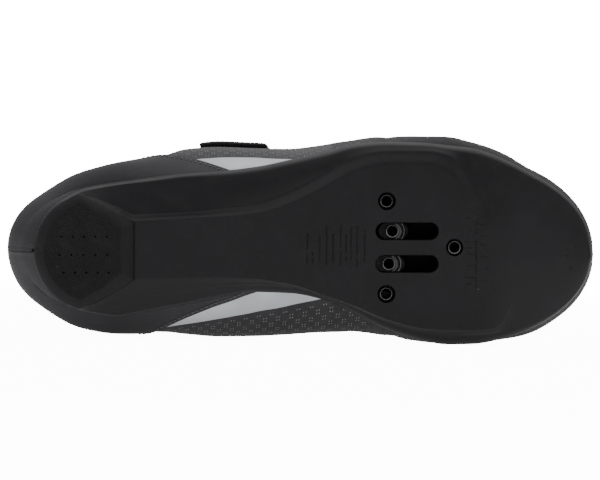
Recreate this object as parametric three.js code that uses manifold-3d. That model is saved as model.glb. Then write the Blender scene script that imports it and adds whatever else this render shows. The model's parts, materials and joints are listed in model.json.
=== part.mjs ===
// A right road cycling shoe, lying on its medial side with the sole upright.
//
// Every solid is drawn in the shoe's own standing frame, in millimetres: x runs from the sole's heel edge to its
// toe, y to the medial side, and z up from the ground that its heel pad and ball stand on. The last lines tip the
// whole shoe over until it rests on the sole's edge and the upper.

import * as THREE from "three";
import { mergeVertices } from "three/addons/utils/BufferGeometryUtils.js";
import { ConvexHull } from "three/addons/math/ConvexHull.js";
import Module from "manifold-3d";

const wasm = await Module();
wasm.setup();

// Driving sizes of the last and the sole.
const soleLength = 275;
const ballWidth = 96;
const instepHeight = 100;
const heelRound = 25; // how far from the heel edge its outline takes to reach full width
const toeRound = 50; // the same at the toe
const heelOverhang = 10.6; // how far the back of the heel stands out behind the sole
const toeOverhang = 3.4; // how far the toe stands out in front of the sole
const toeDome = 13; // how far the toe's roof leans back
const featherRadius = 4.5; // the rounding where the upper turns under the foot

// Thicknesses and clearances.
const wall = 2.2;
const collarPadding = 4.4;
const collarPaddingDepth = 24;
const clearance = 0.3;
const lipThickness = 1.4;
const lipHeight = 4.5;
const counterThickness = 1.2;
const insoleThickness = 4;
const coreWall = 4; // what the hollow in the sole's top leaves of its sides
const coreFloor = 3.6; // and of its underside
const lastingMargin = 10; // how far the upper is turned in under the foot
const tongueThickness = 4.5;
const tongueOverlap = 9;
const tongueTopShare = 0.285; // where the tongue ends, as a share of soleLength
const tongueRound = 15; // how far its upper corners are rounded

// Heel pad.
const padThickness = 4.4;
const padBevel = 6.5;
const padBevelHeight = 3;
const padLength = 49.5;
const padFrontWidth = 28;
const padShoulder = 22.5; // where its outline leaves the sole's edge

// Cleat fittings: three fixed inserts and two nuts that slide in slots.
const cleatAxis = -2.1; // the pattern's centre line, from the sole's own
const insertSpread = 45.5;
const rearInsertsAt = 172.6;
const frontInsertAt = 206.2;
const slotSpread = 16;
const slotLength = 31.5;
const slotWidth = 8.9;
const slotCentreAt = 182.7;
const medialNutSetback = 8.2; // how far each slot nut sits behind the middle of its slot
const lateralNutSetback = 6.6;
const holeRadius = 4.5;
const barrelRadius = 3.2;
const threadRadius = 2.45;
const barrelDepth = 1.6; // how far the barrel's mouth lies inside the sole
const flangeRadius = 5.8;
const flangeThickness = 1.1;
const flangeFloor = 5.2; // the height of the pocket that a flange sits in
const slotNutLength = 15;
const slotNutFloor = 2.6;

// Straps.
const strapThickness = 3;
const instepStrapWidth = 33;
const forefootStrapWidth = 21;
const strapLean = 0.3; // how far a strap's centre line moves forward for each millimetre up

// The last, from heel to toe. at is a share of soleLength. The widths are shares of ballWidth: drift of the centre
// line, and the widest half-widths on the lateral and medial sides. The heights are shares of instepHeight: the
// foot bed, the widest level and the top. ridge is the top's place across the foot, and full its roundness.
const LAST = [
  { at: 0.0, drift: 0.0, lateral: 0.38, medial: 0.36, bed: 0.195, wide: 0.3, top: 0.96, ridge: 0.0, full: 1.35 },
  { at: 0.04, drift: 0.0, lateral: 0.345, medial: 0.335, bed: 0.195, wide: 0.3, top: 1.04, ridge: 0.0, full: 1.35 },
  { at: 0.09, drift: 0.0, lateral: 0.385, medial: 0.38, bed: 0.195, wide: 0.29, top: 1.1, ridge: 0.0, full: 1.35 },
  { at: 0.15, drift: 0.0, lateral: 0.43, medial: 0.434, bed: 0.193, wide: 0.295, top: 1.14, ridge: 0.0, full: 1.35 },
  { at: 0.21, drift: 0.0, lateral: 0.453, medial: 0.435, bed: 0.19, wide: 0.345, top: 1.15, ridge: 0.0, full: 1.35 },
  { at: 0.28, drift: 0.0, lateral: 0.5, medial: 0.452, bed: 0.18, wide: 0.43, top: 1.12, ridge: 0.01, full: 1.45 },
  { at: 0.34, drift: 0.0, lateral: 0.514, medial: 0.47, bed: 0.168, wide: 0.47, top: 1.05, ridge: 0.02, full: 1.6 },
  { at: 0.4, drift: 0.0, lateral: 0.514, medial: 0.467, bed: 0.15, wide: 0.46, top: 0.975, ridge: 0.03, full: 1.75 },
  { at: 0.46, drift: 0.0, lateral: 0.516, medial: 0.455, bed: 0.12, wide: 0.41, top: 0.9, ridge: 0.042, full: 1.85 },
  { at: 0.52, drift: 0.0, lateral: 0.536, medial: 0.436, bed: 0.095, wide: 0.35, top: 0.83, ridge: 0.055, full: 1.95 },
  { at: 0.58, drift: 0.0, lateral: 0.567, medial: 0.43, bed: 0.076, wide: 0.29, top: 0.76, ridge: 0.065, full: 2.0 },
  { at: 0.63, drift: 0.0, lateral: 0.583, medial: 0.44, bed: 0.07, wide: 0.24, top: 0.705, ridge: 0.07, full: 2.05 },
  { at: 0.68, drift: 0.0, lateral: 0.585, medial: 0.461, bed: 0.07, wide: 0.205, top: 0.655, ridge: 0.073, full: 2.1 },
  { at: 0.74, drift: 0.002, lateral: 0.573, medial: 0.479, bed: 0.072, wide: 0.19, top: 0.605, ridge: 0.07, full: 2.15 },
  { at: 0.79, drift: 0.007, lateral: 0.548, medial: 0.472, bed: 0.08, wide: 0.2, top: 0.57, ridge: 0.062, full: 2.2 },
  { at: 0.85, drift: 0.014, lateral: 0.498, medial: 0.444, bed: 0.108, wide: 0.225, top: 0.53, ridge: 0.05, full: 2.25 },
  { at: 0.9, drift: 0.021, lateral: 0.465, medial: 0.427, bed: 0.15, wide: 0.26, top: 0.5, ridge: 0.042, full: 2.3 },
  { at: 0.95, drift: 0.026, lateral: 0.469, medial: 0.417, bed: 0.2, wide: 0.3, top: 0.465, ridge: 0.035, full: 2.3 },
  { at: 1.0, drift: 0.031, lateral: 0.479, medial: 0.417, bed: 0.247, wide: 0.33, top: 0.43, ridge: 0.031, full: 2.3 },
];

// The sole, in the same shares. edge is the outline of its underside, flare how far the lip above stands out past
// it, plateau the flat middle, and cove where the side's slope bends. level, edgeUp and rise are heights: of the
// plateau, of the edge above it, and of the cove above the plateau.
const SOLE = [
  {
    at: 0.0, edgeLateral: 0.315, edgeMedial: 0.313, flareLateral: 0.016, flareMedial: 0.016,
    plateauLateral: 0.295, plateauMedial: 0.295, coveLateral: 0.308, coveMedial: 0.306, level: 0.048, edgeUp: 0.012,
    rise: 0.005,
  },
  {
    at: 0.04, edgeLateral: 0.305, edgeMedial: 0.311, flareLateral: 0.016, flareMedial: 0.016,
    plateauLateral: 0.288, plateauMedial: 0.295, coveLateral: 0.3, coveMedial: 0.305, level: 0.048, edgeUp: 0.012,
    rise: 0.005,
  },
  {
    at: 0.09, edgeLateral: 0.313, edgeMedial: 0.306, flareLateral: 0.016, flareMedial: 0.016,
    plateauLateral: 0.272, plateauMedial: 0.282, coveLateral: 0.287, coveMedial: 0.293, level: 0.048, edgeUp: 0.028,
    rise: 0.012,
  },
  {
    at: 0.15, edgeLateral: 0.345, edgeMedial: 0.326, flareLateral: 0.016, flareMedial: 0.016,
    plateauLateral: 0.197, plateauMedial: 0.2, coveLateral: 0.224, coveMedial: 0.262, level: 0.048, edgeUp: 0.06,
    rise: 0.026,
  },
  {
    at: 0.18, edgeLateral: 0.358, edgeMedial: 0.312, flareLateral: 0.018, flareMedial: 0.02,
    plateauLateral: 0.155, plateauMedial: 0.14, coveLateral: 0.186, coveMedial: 0.226, level: 0.05, edgeUp: 0.07,
    rise: 0.03,
  },
  {
    at: 0.21, edgeLateral: 0.368, edgeMedial: 0.294, flareLateral: 0.02, flareMedial: 0.024,
    plateauLateral: 0.16, plateauMedial: 0.139, coveLateral: 0.189, coveMedial: 0.216, level: 0.058, edgeUp: 0.07,
    rise: 0.032,
  },
  {
    at: 0.28, edgeLateral: 0.394, edgeMedial: 0.252, flareLateral: 0.022, flareMedial: 0.03,
    plateauLateral: 0.171, plateauMedial: 0.136, coveLateral: 0.198, coveMedial: 0.194, level: 0.08, edgeUp: 0.065,
    rise: 0.032,
  },
  {
    at: 0.34, edgeLateral: 0.409, edgeMedial: 0.215, flareLateral: 0.025, flareMedial: 0.031,
    plateauLateral: 0.179, plateauMedial: 0.135, coveLateral: 0.215, coveMedial: 0.175, level: 0.086, edgeUp: 0.059,
    rise: 0.03,
  },
  {
    at: 0.4, edgeLateral: 0.427, edgeMedial: 0.192, flareLateral: 0.026, flareMedial: 0.031,
    plateauLateral: 0.193, plateauMedial: 0.141, coveLateral: 0.24, coveMedial: 0.167, level: 0.07, edgeUp: 0.055,
    rise: 0.03,
  },
  {
    at: 0.46, edgeLateral: 0.476, edgeMedial: 0.207, flareLateral: 0.026, flareMedial: 0.031,
    plateauLateral: 0.248, plateauMedial: 0.167, coveLateral: 0.307, coveMedial: 0.187, level: 0.042, edgeUp: 0.053,
    rise: 0.03,
  },
  {
    at: 0.52, edgeLateral: 0.519, edgeMedial: 0.241, flareLateral: 0.025, flareMedial: 0.031,
    plateauLateral: 0.333, plateauMedial: 0.224, coveLateral: 0.401, coveMedial: 0.232, level: 0.018, edgeUp: 0.052,
    rise: 0.03,
  },
  {
    at: 0.575, edgeLateral: 0.546, edgeMedial: 0.298, flareLateral: 0.024, flareMedial: 0.032,
    plateauLateral: 0.412, plateauMedial: 0.28, coveLateral: 0.488, coveMedial: 0.289, level: 0.0, edgeUp: 0.05,
    rise: 0.03,
  },
  {
    at: 0.63, edgeLateral: 0.554, edgeMedial: 0.367, flareLateral: 0.023, flareMedial: 0.034,
    plateauLateral: 0.445, plateauMedial: 0.345, coveLateral: 0.515, coveMedial: 0.356, level: 0.0, edgeUp: 0.043,
    rise: 0.026,
  },
  {
    at: 0.7, edgeLateral: 0.548, edgeMedial: 0.422, flareLateral: 0.023, flareMedial: 0.042,
    plateauLateral: 0.446, plateauMedial: 0.392, coveLateral: 0.51, coveMedial: 0.408, level: 0.0, edgeUp: 0.04,
    rise: 0.025,
  },
  {
    at: 0.74, edgeLateral: 0.531, edgeMedial: 0.435, flareLateral: 0.026, flareMedial: 0.047,
    plateauLateral: 0.412, plateauMedial: 0.396, coveLateral: 0.48, coveMedial: 0.417, level: 0.005, edgeUp: 0.038,
    rise: 0.022,
  },
  {
    at: 0.79, edgeLateral: 0.504, edgeMedial: 0.429, flareLateral: 0.031, flareMedial: 0.047,
    plateauLateral: 0.285, plateauMedial: 0.394, coveLateral: 0.34, coveMedial: 0.412, level: 0.022, edgeUp: 0.035,
    rise: 0.012,
  },
  {
    at: 0.85, edgeLateral: 0.455, edgeMedial: 0.401, flareLateral: 0.031, flareMedial: 0.04,
    plateauLateral: 0.13, plateauMedial: 0.25, coveLateral: 0.18, coveMedial: 0.3, level: 0.06, edgeUp: 0.028,
    rise: 0.01,
  },
  {
    at: 0.9, edgeLateral: 0.429, edgeMedial: 0.386, flareLateral: 0.029, flareMedial: 0.031,
    plateauLateral: 0.1, plateauMedial: 0.15, coveLateral: 0.2, coveMedial: 0.24, level: 0.105, edgeUp: 0.022,
    rise: 0.006,
  },
  {
    at: 0.95, edgeLateral: 0.423, edgeMedial: 0.373, flareLateral: 0.026, flareMedial: 0.026,
    plateauLateral: 0.1, plateauMedial: 0.12, coveLateral: 0.25, coveMedial: 0.25, level: 0.155, edgeUp: 0.018,
    rise: 0.005,
  },
  {
    at: 1.0, edgeLateral: 0.432, edgeMedial: 0.333, flareLateral: 0.023, flareMedial: 0.023,
    plateauLateral: 0.1, plateauMedial: 0.12, coveLateral: 0.25, coveMedial: 0.25, level: 0.2, edgeUp: 0.014,
    rise: 0.005,
  },
];

// The back of the heel: how far it stands out at each height, as a share of heelOverhang.
const HEEL_CURVE = [
  { at: 0.195, out: 0.1 },
  { at: 0.24, out: 0.5 },
  { at: 0.33, out: 0.96 },
  { at: 0.42, out: 1.0 },
  { at: 0.55, out: 0.72 },
  { at: 0.68, out: 0.4 },
  { at: 0.8, out: 0.1 },
  { at: 1.0, out: -0.6 },
];

// The collar's top line seen from the side: along is a share of soleLength, up of instepHeight.
const COLLAR_LINE = [
  { along: -0.08, up: 0.81 },
  { along: -0.02, up: 0.8 },
  { along: 0.03, up: 0.775 },
  { along: 0.09, up: 0.7 },
  { along: 0.15, up: 0.63 },
  { along: 0.205, up: 0.61 },
  { along: 0.26, up: 0.66 },
  { along: 0.31, up: 0.77 },
  { along: 0.345, up: 0.9 },
  { along: 0.36, up: 1.04 },
];

// The throat's half-width in shares of ballWidth, from the collar to its front end.
const THROAT = [
  { along: 0.28, half: 0.2 },
  { along: 0.36, half: 0.185 },
  { along: 0.46, half: 0.16 },
  { along: 0.58, half: 0.125 },
  { along: 0.68, half: 0.09 },
  { along: 0.73, half: 0.06 },
  { along: 0.745, half: 0.02 },
];

// The heel counter's top edge seen from the side.
const COUNTER_LINE = [
  { along: -0.09, up: 0.62 },
  { along: 0.02, up: 0.6 },
  { along: 0.08, up: 0.54 },
  { along: 0.13, up: 0.455 },
  { along: 0.17, up: 0.39 },
  { along: 0.215, up: 0.335 },
  { along: 0.265, up: 0.293 },
  { along: 0.315, up: 0.262 },
  { along: 0.36, up: 0.22 },
  { along: 0.39, up: 0.185 },
];

// The straps. centre is where a strap's centre line crosses the level of its lateral end, as a share of
// soleLength, and the ends' levels are shares of instepHeight.
const STRAPS = [
  { name: "instep_strap", centre: 0.365, width: instepStrapWidth, lateralEnd: 0.5, medialEnd: 0.72 },
  { name: "middle_strap", centre: 0.525, width: forefootStrapWidth, lateralEnd: 0.55, medialEnd: 0.6 },
  { name: "toe_strap", centre: 0.648, width: forefootStrapWidth, lateralEnd: 0.43, medialEnd: 0.5 },
];

// Mesh densities of the lofts: stations along the foot, and steps in each stretch of a half section.
const stations = 30;
const bedSteps = 1;
const cornerSteps = 2;
const flankSteps = 4;
const roofSteps = 7;

// Relative weights of the materials, for finding where the shoe's weight lies.
const DENSITY = { cloth: 0.75, foam: 0.3, nylon: 1.15, rubber: 1.2, steel: 7.8 };

// A smooth curve through one column of a table, by monotone cubic pieces.
function curveThrough(table, key, column) {
  const x = table.map((row) => row[key]);
  const y = table.map((row) => row[column]);
  const last = x.length - 1;
  const slope = x.slice(1).map((_, i) => (y[i + 1] - y[i]) / (x[i + 1] - x[i]));
  const tangent = y.map((_, i) => {
    if (i === 0) return slope[0];
    if (i === last) return slope[last - 1];
    const [before, after] = [slope[i - 1], slope[i]];
    return before * after <= 0 ? 0 : (2 * before * after) / (before + after);
  });
  return (at) => {
    let i = x.findIndex((value) => value > at) - 1;
    if (at <= x[0]) i = 0;
    if (i < 0) i = last - 1;
    const h = x[i + 1] - x[i];
    const t = Math.min(1, Math.max(0, (at - x[i]) / h));
    const [t2, t3] = [t * t, t * t * t];
    return (
      (2 * t3 - 3 * t2 + 1) * y[i] + (t3 - 2 * t2 + t) * h * tangent[i] +
      (3 * t2 - 2 * t3) * y[i + 1] + (t3 - t2) * h * tangent[i + 1]
    );
  };
}

// Every column of a table as a curve, multiplied by the size that it is a share of.
function curvesOf(table, sizes) {
  const curves = {};
  for (const [column, size] of Object.entries(sizes)) {
    const curve = curveThrough(table, "at", column);
    curves[column] = (at) => curve(at) * size;
  }
  return curves;
}

const last = curvesOf(LAST, {
  drift: ballWidth, lateral: ballWidth, medial: ballWidth, ridge: ballWidth,
  bed: instepHeight, wide: instepHeight, top: instepHeight, full: 1,
});
const sole = curvesOf(SOLE, {
  edgeLateral: ballWidth, edgeMedial: ballWidth, flareLateral: ballWidth, flareMedial: ballWidth,
  plateauLateral: ballWidth, plateauMedial: ballWidth, coveLateral: ballWidth, coveMedial: ballWidth,
  level: instepHeight, edgeUp: instepHeight, rise: instepHeight,
});
const heelCurve = curveThrough(HEEL_CURVE, "at", "out");

// The share of its full width that an outline has near its round ends, 0 at the very heel and toe.
function endRounding(at) {
  const along = at * soleLength;
  const heel = Math.max(0, 1 - along / heelRound);
  const toe = Math.max(0, 1 - (soleLength - along) / toeRound);
  return Math.sqrt(Math.max(0, 1 - heel * heel)) * Math.sqrt(Math.max(0, 1 - toe * toe));
}

// How strongly the heel's and the toe's overhang act at a station, 1 at the end and 0 in mid shoe.
const heelReach = 60;
const toeReach = 55;
const heelPull = (at) => Math.max(0, 1 - (at * soleLength) / heelReach) ** 2;
const toePull = (at) => Math.max(0, 1 - ((1 - at) * soleLength) / toeReach) ** 2;

// How far the last stands out past its station, backwards at the heel and forwards at the toe.
function lastOverhang(at, z) {
  const heel = -heelOverhang * heelCurve(z / instepHeight) * heelPull(at);
  const [bed, wide, top] = [last.bed(at), last.wide(at), last.top(at)];
  const below = Math.min(1, Math.max(0, (z - bed) / (wide - bed)));
  const above = Math.min(1, Math.max(0, (z - wide) / (top - wide)));
  return heel + (toeOverhang * below - toeDome * above * above) * toePull(at);
}

// The half-width of the upper where it turns under the foot, just inside the sole's lip.
function featherHalf(at, side) {
  const outer = side > 0 ? sole.edgeMedial(at) + sole.flareMedial(at) : sole.edgeLateral(at) + sole.flareLateral(at);
  return outer - lipThickness - clearance;
}

// Half a section of the last from the middle of its bed to its ridge, as [y, z] points.
function halfSection(at, side) {
  const round = endRounding(at);
  const bed = last.bed(at);
  const half = featherHalf(at, side) * round;
  const radius = Math.min(featherRadius, half * 0.7);
  const widest = (side > 0 ? last.medial(at) : last.lateral(at)) * round;
  const wide = last.wide(at);
  const ridge = last.ridge(at) * round * side;
  const points = [];
  for (let i = 0; i < bedSteps; i++) points.push([((half - radius) * i) / bedSteps, bed]);
  for (let i = 0; i < cornerSteps; i++) {
    const angle = (Math.PI / 2) * (i / cornerSteps);
    points.push([half - radius + radius * Math.sin(angle), bed + radius * (1 - Math.cos(angle))]);
  }
  const from = bed + radius;
  for (let i = 0; i < flankSteps; i++) {
    const t = i / flankSteps;
    const ease = t * (2 - t);
    points.push([half + (widest - half) * ease, from + (wide - from) * t]);
  }
  for (let i = 0; i <= roofSteps; i++) {
    const angle = (Math.PI / 2) * (i / roofSteps);
    const power = 2 / last.full(at);
    points.push([
      ridge + (widest - ridge) * Math.cos(angle) ** power,
      wide + (last.top(at) - wide) * Math.sin(angle) ** power,
    ]);
  }
  points[points.length - 1][0] = ridge;
  return points.map(([y, z]) => [last.drift(at) + side * y, z]);
}

// A closed loft through half sections. The two halves share their first and last points, and every point at the
// very heel and toe, where the section has no width.
function loftOf(half, overhang, count) {
  const positions = [];
  const index = [];
  for (let i = 0; i <= count; i++) {
    const at = (1 - Math.cos((Math.PI * i) / count)) / 2;
    const [medial, lateral] = [half(at, 1), half(at, -1)];
    const ring = [...medial, ...lateral.slice(1, -1).reverse()];
    for (const [y, z] of ring) positions.push(at * soleLength + overhang(at, z), y, z);
  }
  const ringSize = positions.length / 3 / (count + 1);
  for (let i = 0; i < count; i++) {
    for (let k = 0; k < ringSize; k++) {
      const next = (k + 1) % ringSize;
      const [a, b] = [i * ringSize + k, (i + 1) * ringSize + k];
      const [c, d] = [(i + 1) * ringSize + next, i * ringSize + next];
      index.push(a, c, b, a, d, c);
    }
  }
  const geometry = new THREE.BufferGeometry();
  geometry.setAttribute("position", new THREE.Float32BufferAttribute(positions, 3));
  geometry.setIndex(index);
  return withoutSlivers(geometry);
}

// Merges points that coincide and drops the triangles that this leaves with no area.
function withoutSlivers(geometry) {
  const merged = mergeVertices(geometry, 1e-4);
  const kept = [];
  const index = merged.index.array;
  for (let i = 0; i < index.length; i += 3) {
    const [a, b, c] = [index[i], index[i + 1], index[i + 2]];
    if (a !== b && b !== c && c !== a) kept.push(a, b, c);
  }
  merged.setIndex(kept);
  return merged;
}

// A three.js geometry as a solid that can be joined and cut.
function solidOf(geometry) {
  const bare = new THREE.BufferGeometry();
  bare.setAttribute("position", geometry.getAttribute("position"));
  if (geometry.index) bare.setIndex(geometry.index);
  const merged = withoutSlivers(bare);
  return new wasm.Manifold(
    new wasm.Mesh({
      numProp: 3,
      vertProperties: new Float32Array(merged.getAttribute("position").array),
      triVerts: new Uint32Array(merged.index.array),
    }),
  );
}

// The last, and the same form grown or shrunk along its normals by a distance that may vary over it.
const lastGeometry = loftOf(halfSection, lastOverhang, stations);
lastGeometry.computeVertexNormals();

function form(distance) {
  const position = lastGeometry.getAttribute("position");
  const normal = lastGeometry.getAttribute("normal");
  const moved = position.clone();
  for (let i = 0; i < position.count; i++) {
    const [x, y, z] = [position.getX(i), position.getY(i), position.getZ(i)];
    const d = typeof distance === "number" ? distance : distance(x, y, z);
    moved.setXYZ(i, x + normal.getX(i) * d, y + normal.getY(i) * d, z + normal.getZ(i) * d);
  }
  const geometry = new THREE.BufferGeometry();
  geometry.setAttribute("position", moved);
  geometry.setIndex(lastGeometry.index);
  return solidOf(geometry);
}

// Prisms that cut: an outline seen from the side, and one seen from above.
const cutterHalf = 120;

function sidePrism(outline, low = -cutterHalf, high = cutterHalf) {
  const shape = new THREE.Shape(outline.map(([x, z]) => new THREE.Vector2(x, z)));
  const geometry = new THREE.ExtrudeGeometry(shape, { depth: high - low, bevelEnabled: false });
  geometry.rotateX(Math.PI / 2);
  geometry.translate(0, high, 0);
  return solidOf(geometry);
}

function planPrism(outline, low, high) {
  const shape = new THREE.Shape(outline.map(([x, y]) => new THREE.Vector2(x, y)));
  const geometry = new THREE.ExtrudeGeometry(shape, { depth: high - low, bevelEnabled: false });
  geometry.translate(0, 0, low);
  return solidOf(geometry);
}

// The points of a smooth line seen from the side, given in shares of the shoe's length and instep height.
function sideLine(rows, count) {
  const points = rows.map((row) => new THREE.Vector2(row.along * soleLength, row.up * instepHeight));
  return new THREE.SplineCurve(points).getPoints(count).map((p) => [p.x, p.y]);
}

// A side outline that follows the foot bed between two heights above it.
function bedBand(low, high) {
  const shares = Array.from({ length: 25 }, (_, i) => -0.08 + (1.16 * i) / 24);
  const line = (above) => shares.map((at) => [at * soleLength, last.bed(Math.min(1, Math.max(0, at))) + above]);
  return [...line(low), ...line(high).reverse()];
}

// The opening in the underside of the upper, shrunk by inset.
function bedOpening(inset) {
  const [from, to] = [0.045, 0.955];
  const rows = Array.from({ length: 23 }, (_, i) => from + ((to - from) * (1 - Math.cos((Math.PI * i) / 22))) / 2);
  const end = (at) => Math.sqrt(Math.max(0, 1 - ((2 * at - from - to) / (to - from)) ** 8));
  const line = (side) =>
    rows.map((at) => {
      const half = Math.max(0, featherHalf(at, side) * endRounding(at) - lastingMargin - inset) * end(at);
      const squeeze = 1 - (2 * inset) / soleLength;
      return [(at - 0.5) * squeeze * soleLength + soleLength / 2, last.drift(at) + side * half];
    });
  return [...line(1), ...line(-1).slice(1, -1).reverse()];
}

// How thick the wall of the upper is: padded round the collar, and thin elsewhere.
const collarLine = sideLine(COLLAR_LINE, 40);

function collarHeight(x) {
  const i = collarLine.findIndex(([along]) => along > x);
  if (i < 0) return Infinity;
  if (i === 0) return collarLine[0][1];
  const [[x0, z0], [x1, z1]] = [collarLine[i - 1], collarLine[i]];
  return z0 + ((z1 - z0) * (x - x0)) / (x1 - x0);
}

function wallThickness(x, y, z) {
  const below = collarHeight(x) - z;
  const share = Math.min(1, Math.max(0, 1 - below / collarPaddingDepth));
  return wall + collarPadding * share * share * (3 - 2 * share);
}

// The throat's outline from above, widened by extra. Its back end is square, or rounded for the tongue.
function throatOutline(extra, start, round) {
  const half = curveThrough(THROAT, "along", "half");
  const end = THROAT[THROAT.length - 1].along;
  const shares = Array.from({ length: 17 }, (_, i) => (1 - Math.cos((Math.PI * i) / 16)) / 2);
  const line = (side) =>
    shares.map((share) => {
      const at = start + (end - start) * share;
      const corner = Math.max(0, 1 - ((at - start) * soleLength) / Math.max(round, 1e-3));
      const width = (half(at) * ballWidth + extra) * (1 - 0.45 * (1 - Math.sqrt(1 - corner * corner)));
      return [at * soleLength + extra * share, last.ridge(at) + side * width];
    });
  return [...line(1).reverse(), ...line(-1)];
}

// The upper: one hollow wall, open at the collar, down the throat and under the foot.
function makeUpper() {
  const cavity = form((x, y, z) => -wallThickness(x, y, z));
  const [back, front] = [collarLine[0], collarLine[collarLine.length - 1]];
  const above = instepHeight * 1.4;
  const collarCut = sidePrism([...collarLine, [front[0], above], [back[0], above]]);
  const throatCut = planPrism(throatOutline(0, THROAT[0].along, 0), instepHeight * 0.42, above);
  const underCut = planPrism(bedOpening(0), -instepHeight * 0.05, instepHeight * 0.33);
  return form(0).subtract(cavity).subtract(collarCut).subtract(throatCut).subtract(underCut);
}

// The tongue: a padded sheet under the throat that stands up past the collar.
function makeTongue() {
  const outer = form((x, y, z) => -wallThickness(x, y, z) - clearance);
  const inner = form((x, y, z) => -wallThickness(x, y, z) - clearance - tongueThickness);
  const outline = throatOutline(tongueOverlap, tongueTopShare, tongueRound);
  const cut = planPrism(outline, instepHeight * 0.44, instepHeight * 1.4);
  return outer.subtract(inner).intersect(cut);
}

// The insole: the foot bed, with a board under it that fills the opening in the upper.
function makeInsole() {
  const top = wall + clearance + insoleThickness;
  const bed = form(-wall - clearance).intersect(sidePrism(bedBand(-2, top)));
  const board = planPrism(bedOpening(clearance), 0, instepHeight).intersect(sidePrism(bedBand(0, top - 1)));
  return bed.add(board);
}

// Half a section of the sole, from the middle of its underside to the middle of its top.
function soleHalf(at, side) {
  const round = endRounding(at);
  const pick = (name) => sole[name + (side > 0 ? "Medial" : "Lateral")](at);
  const level = sole.level(at);
  const edgeZ = level + sole.edgeUp(at);
  const lipZ = last.bed(at) + lipHeight;
  const [edge, flare, plateau, cove] = [pick("edge"), pick("flare"), pick("plateau"), pick("cove")];
  const coveZ = level + sole.rise(at);
  const points = [
    [0, level],
    [plateau * 0.5, level],
    [plateau, level],
    [cove, coveZ],
    [(cove + edge) / 2, coveZ * 0.55 + edgeZ * 0.45],
    [edge, edgeZ],
    [edge + flare * 0.62, edgeZ + (lipZ - edgeZ) * 0.35],
    [edge + flare * 0.9, edgeZ + (lipZ - edgeZ) * 0.7],
    [edge + flare, lipZ],
    [0, lipZ],
  ];
  return points.map(([y, z]) => [last.drift(at) + side * y * round, z]);
}

function soleOverhang(at, z) {
  const edgeZ = sole.level(at) + sole.edgeUp(at);
  const lipZ = last.bed(at) + lipHeight;
  const share = Math.min(1, Math.max(0, (z - edgeZ) / (lipZ - edgeZ))) ** 0.7;
  return share * (sole.flareLateral(1) * toePull(at) - sole.flareLateral(0) * heelPull(at));
}

// A round bar along z, and the stadium that a slot or a slot nut has, seen from above.
const roundSegments = 16;

function bar(x, y, radius, low, high) {
  const geometry = new THREE.CylinderGeometry(radius, radius, high - low, roundSegments);
  geometry.rotateX(Math.PI / 2);
  geometry.translate(x, y, (low + high) / 2);
  return solidOf(geometry);
}

function stadium(x, y, length, width, low, high) {
  const shape = new THREE.Shape();
  const straight = (length - width) / 2;
  shape.absarc(x + straight, y, width / 2, -Math.PI / 2, Math.PI / 2);
  shape.absarc(x - straight, y, width / 2, Math.PI / 2, (Math.PI * 3) / 2);
  const geometry = new THREE.ExtrudeGeometry(shape, { depth: high - low, bevelEnabled: false, curveSegments: 6 });
  geometry.translate(0, 0, low);
  return solidOf(geometry);
}

const insertPlaces = [
  { name: "cleat_insert_front", x: frontInsertAt, y: cleatAxis },
  { name: "cleat_insert_rear_medial", x: rearInsertsAt, y: cleatAxis + insertSpread / 2 },
  { name: "cleat_insert_rear_lateral", x: rearInsertsAt, y: cleatAxis - insertSpread / 2 },
];
const slotPlaces = [
  { name: "slot_nut_medial", x: slotCentreAt - medialNutSetback, y: cleatAxis + slotSpread / 2 },
  { name: "slot_nut_lateral", x: slotCentreAt - lateralNutSetback, y: cleatAxis - slotSpread / 2 },
];
const flangeWidth = slotSpread - 2.6;
const throughTop = instepHeight * 0.3;
const belowSole = -1;

// The hollow that a moulded sole has in its top, from the heel to the end of the arch.
function soleCore() {
  const [from, to] = [0.03, 0.5];
  const rows = Array.from({ length: 14 }, (_, i) => from + ((to - from) * (1 - Math.cos((Math.PI * i) / 13))) / 2);
  const line = (side) =>
    rows.map((at) => {
      const half = side > 0 ? sole.plateauMedial(at) : sole.plateauLateral(at);
      return [at * soleLength, side * Math.max(1, half * endRounding(at) - coreWall)];
    });
  const floor = rows.map((at) => [at * soleLength, sole.level(at) + coreFloor]);
  const walls = planPrism([...line(-1), ...line(1).reverse()], 0, throughTop);
  return walls.intersect(sidePrism([...floor, [to * soleLength, throughTop], [from * soleLength, throughTop]]));
}

// The outsole: a stiff shell with a lip round the upper, drilled and slotted for the cleat.
function makeOutsole() {
  const shell = solidOf(loftOf(soleHalf, soleOverhang, stations));
  let cut = shell.subtract(form(clearance)).subtract(soleCore());
  for (const { x, y } of insertPlaces) {
    cut = cut.subtract(bar(x, y, holeRadius, belowSole, flangeFloor - 2));
    cut = cut.subtract(bar(x, y, barrelRadius + clearance, belowSole, throughTop));
    cut = cut.subtract(bar(x, y, flangeRadius + clearance, flangeFloor - clearance, throughTop));
  }
  for (const { y } of slotPlaces) {
    const pocket = slotLength + flangeWidth - slotWidth;
    cut = cut.subtract(stadium(slotCentreAt, y, slotLength, slotWidth, belowSole, throughTop));
    cut = cut.subtract(stadium(slotCentreAt, y, pocket, flangeWidth, flangeFloor - clearance, throughTop));
  }
  return cut;
}

// A threaded insert: a barrel that hangs in its hole from a flange on the sole's inside.
function makeInsert({ x, y }) {
  const barrel = bar(x, y, barrelRadius, barrelDepth, flangeFloor + flangeThickness / 2);
  const flange = bar(x, y, flangeRadius, flangeFloor, flangeFloor + flangeThickness);
  return barrel.add(flange).subtract(bar(x, y, threadRadius, belowSole, throughTop));
}

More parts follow.
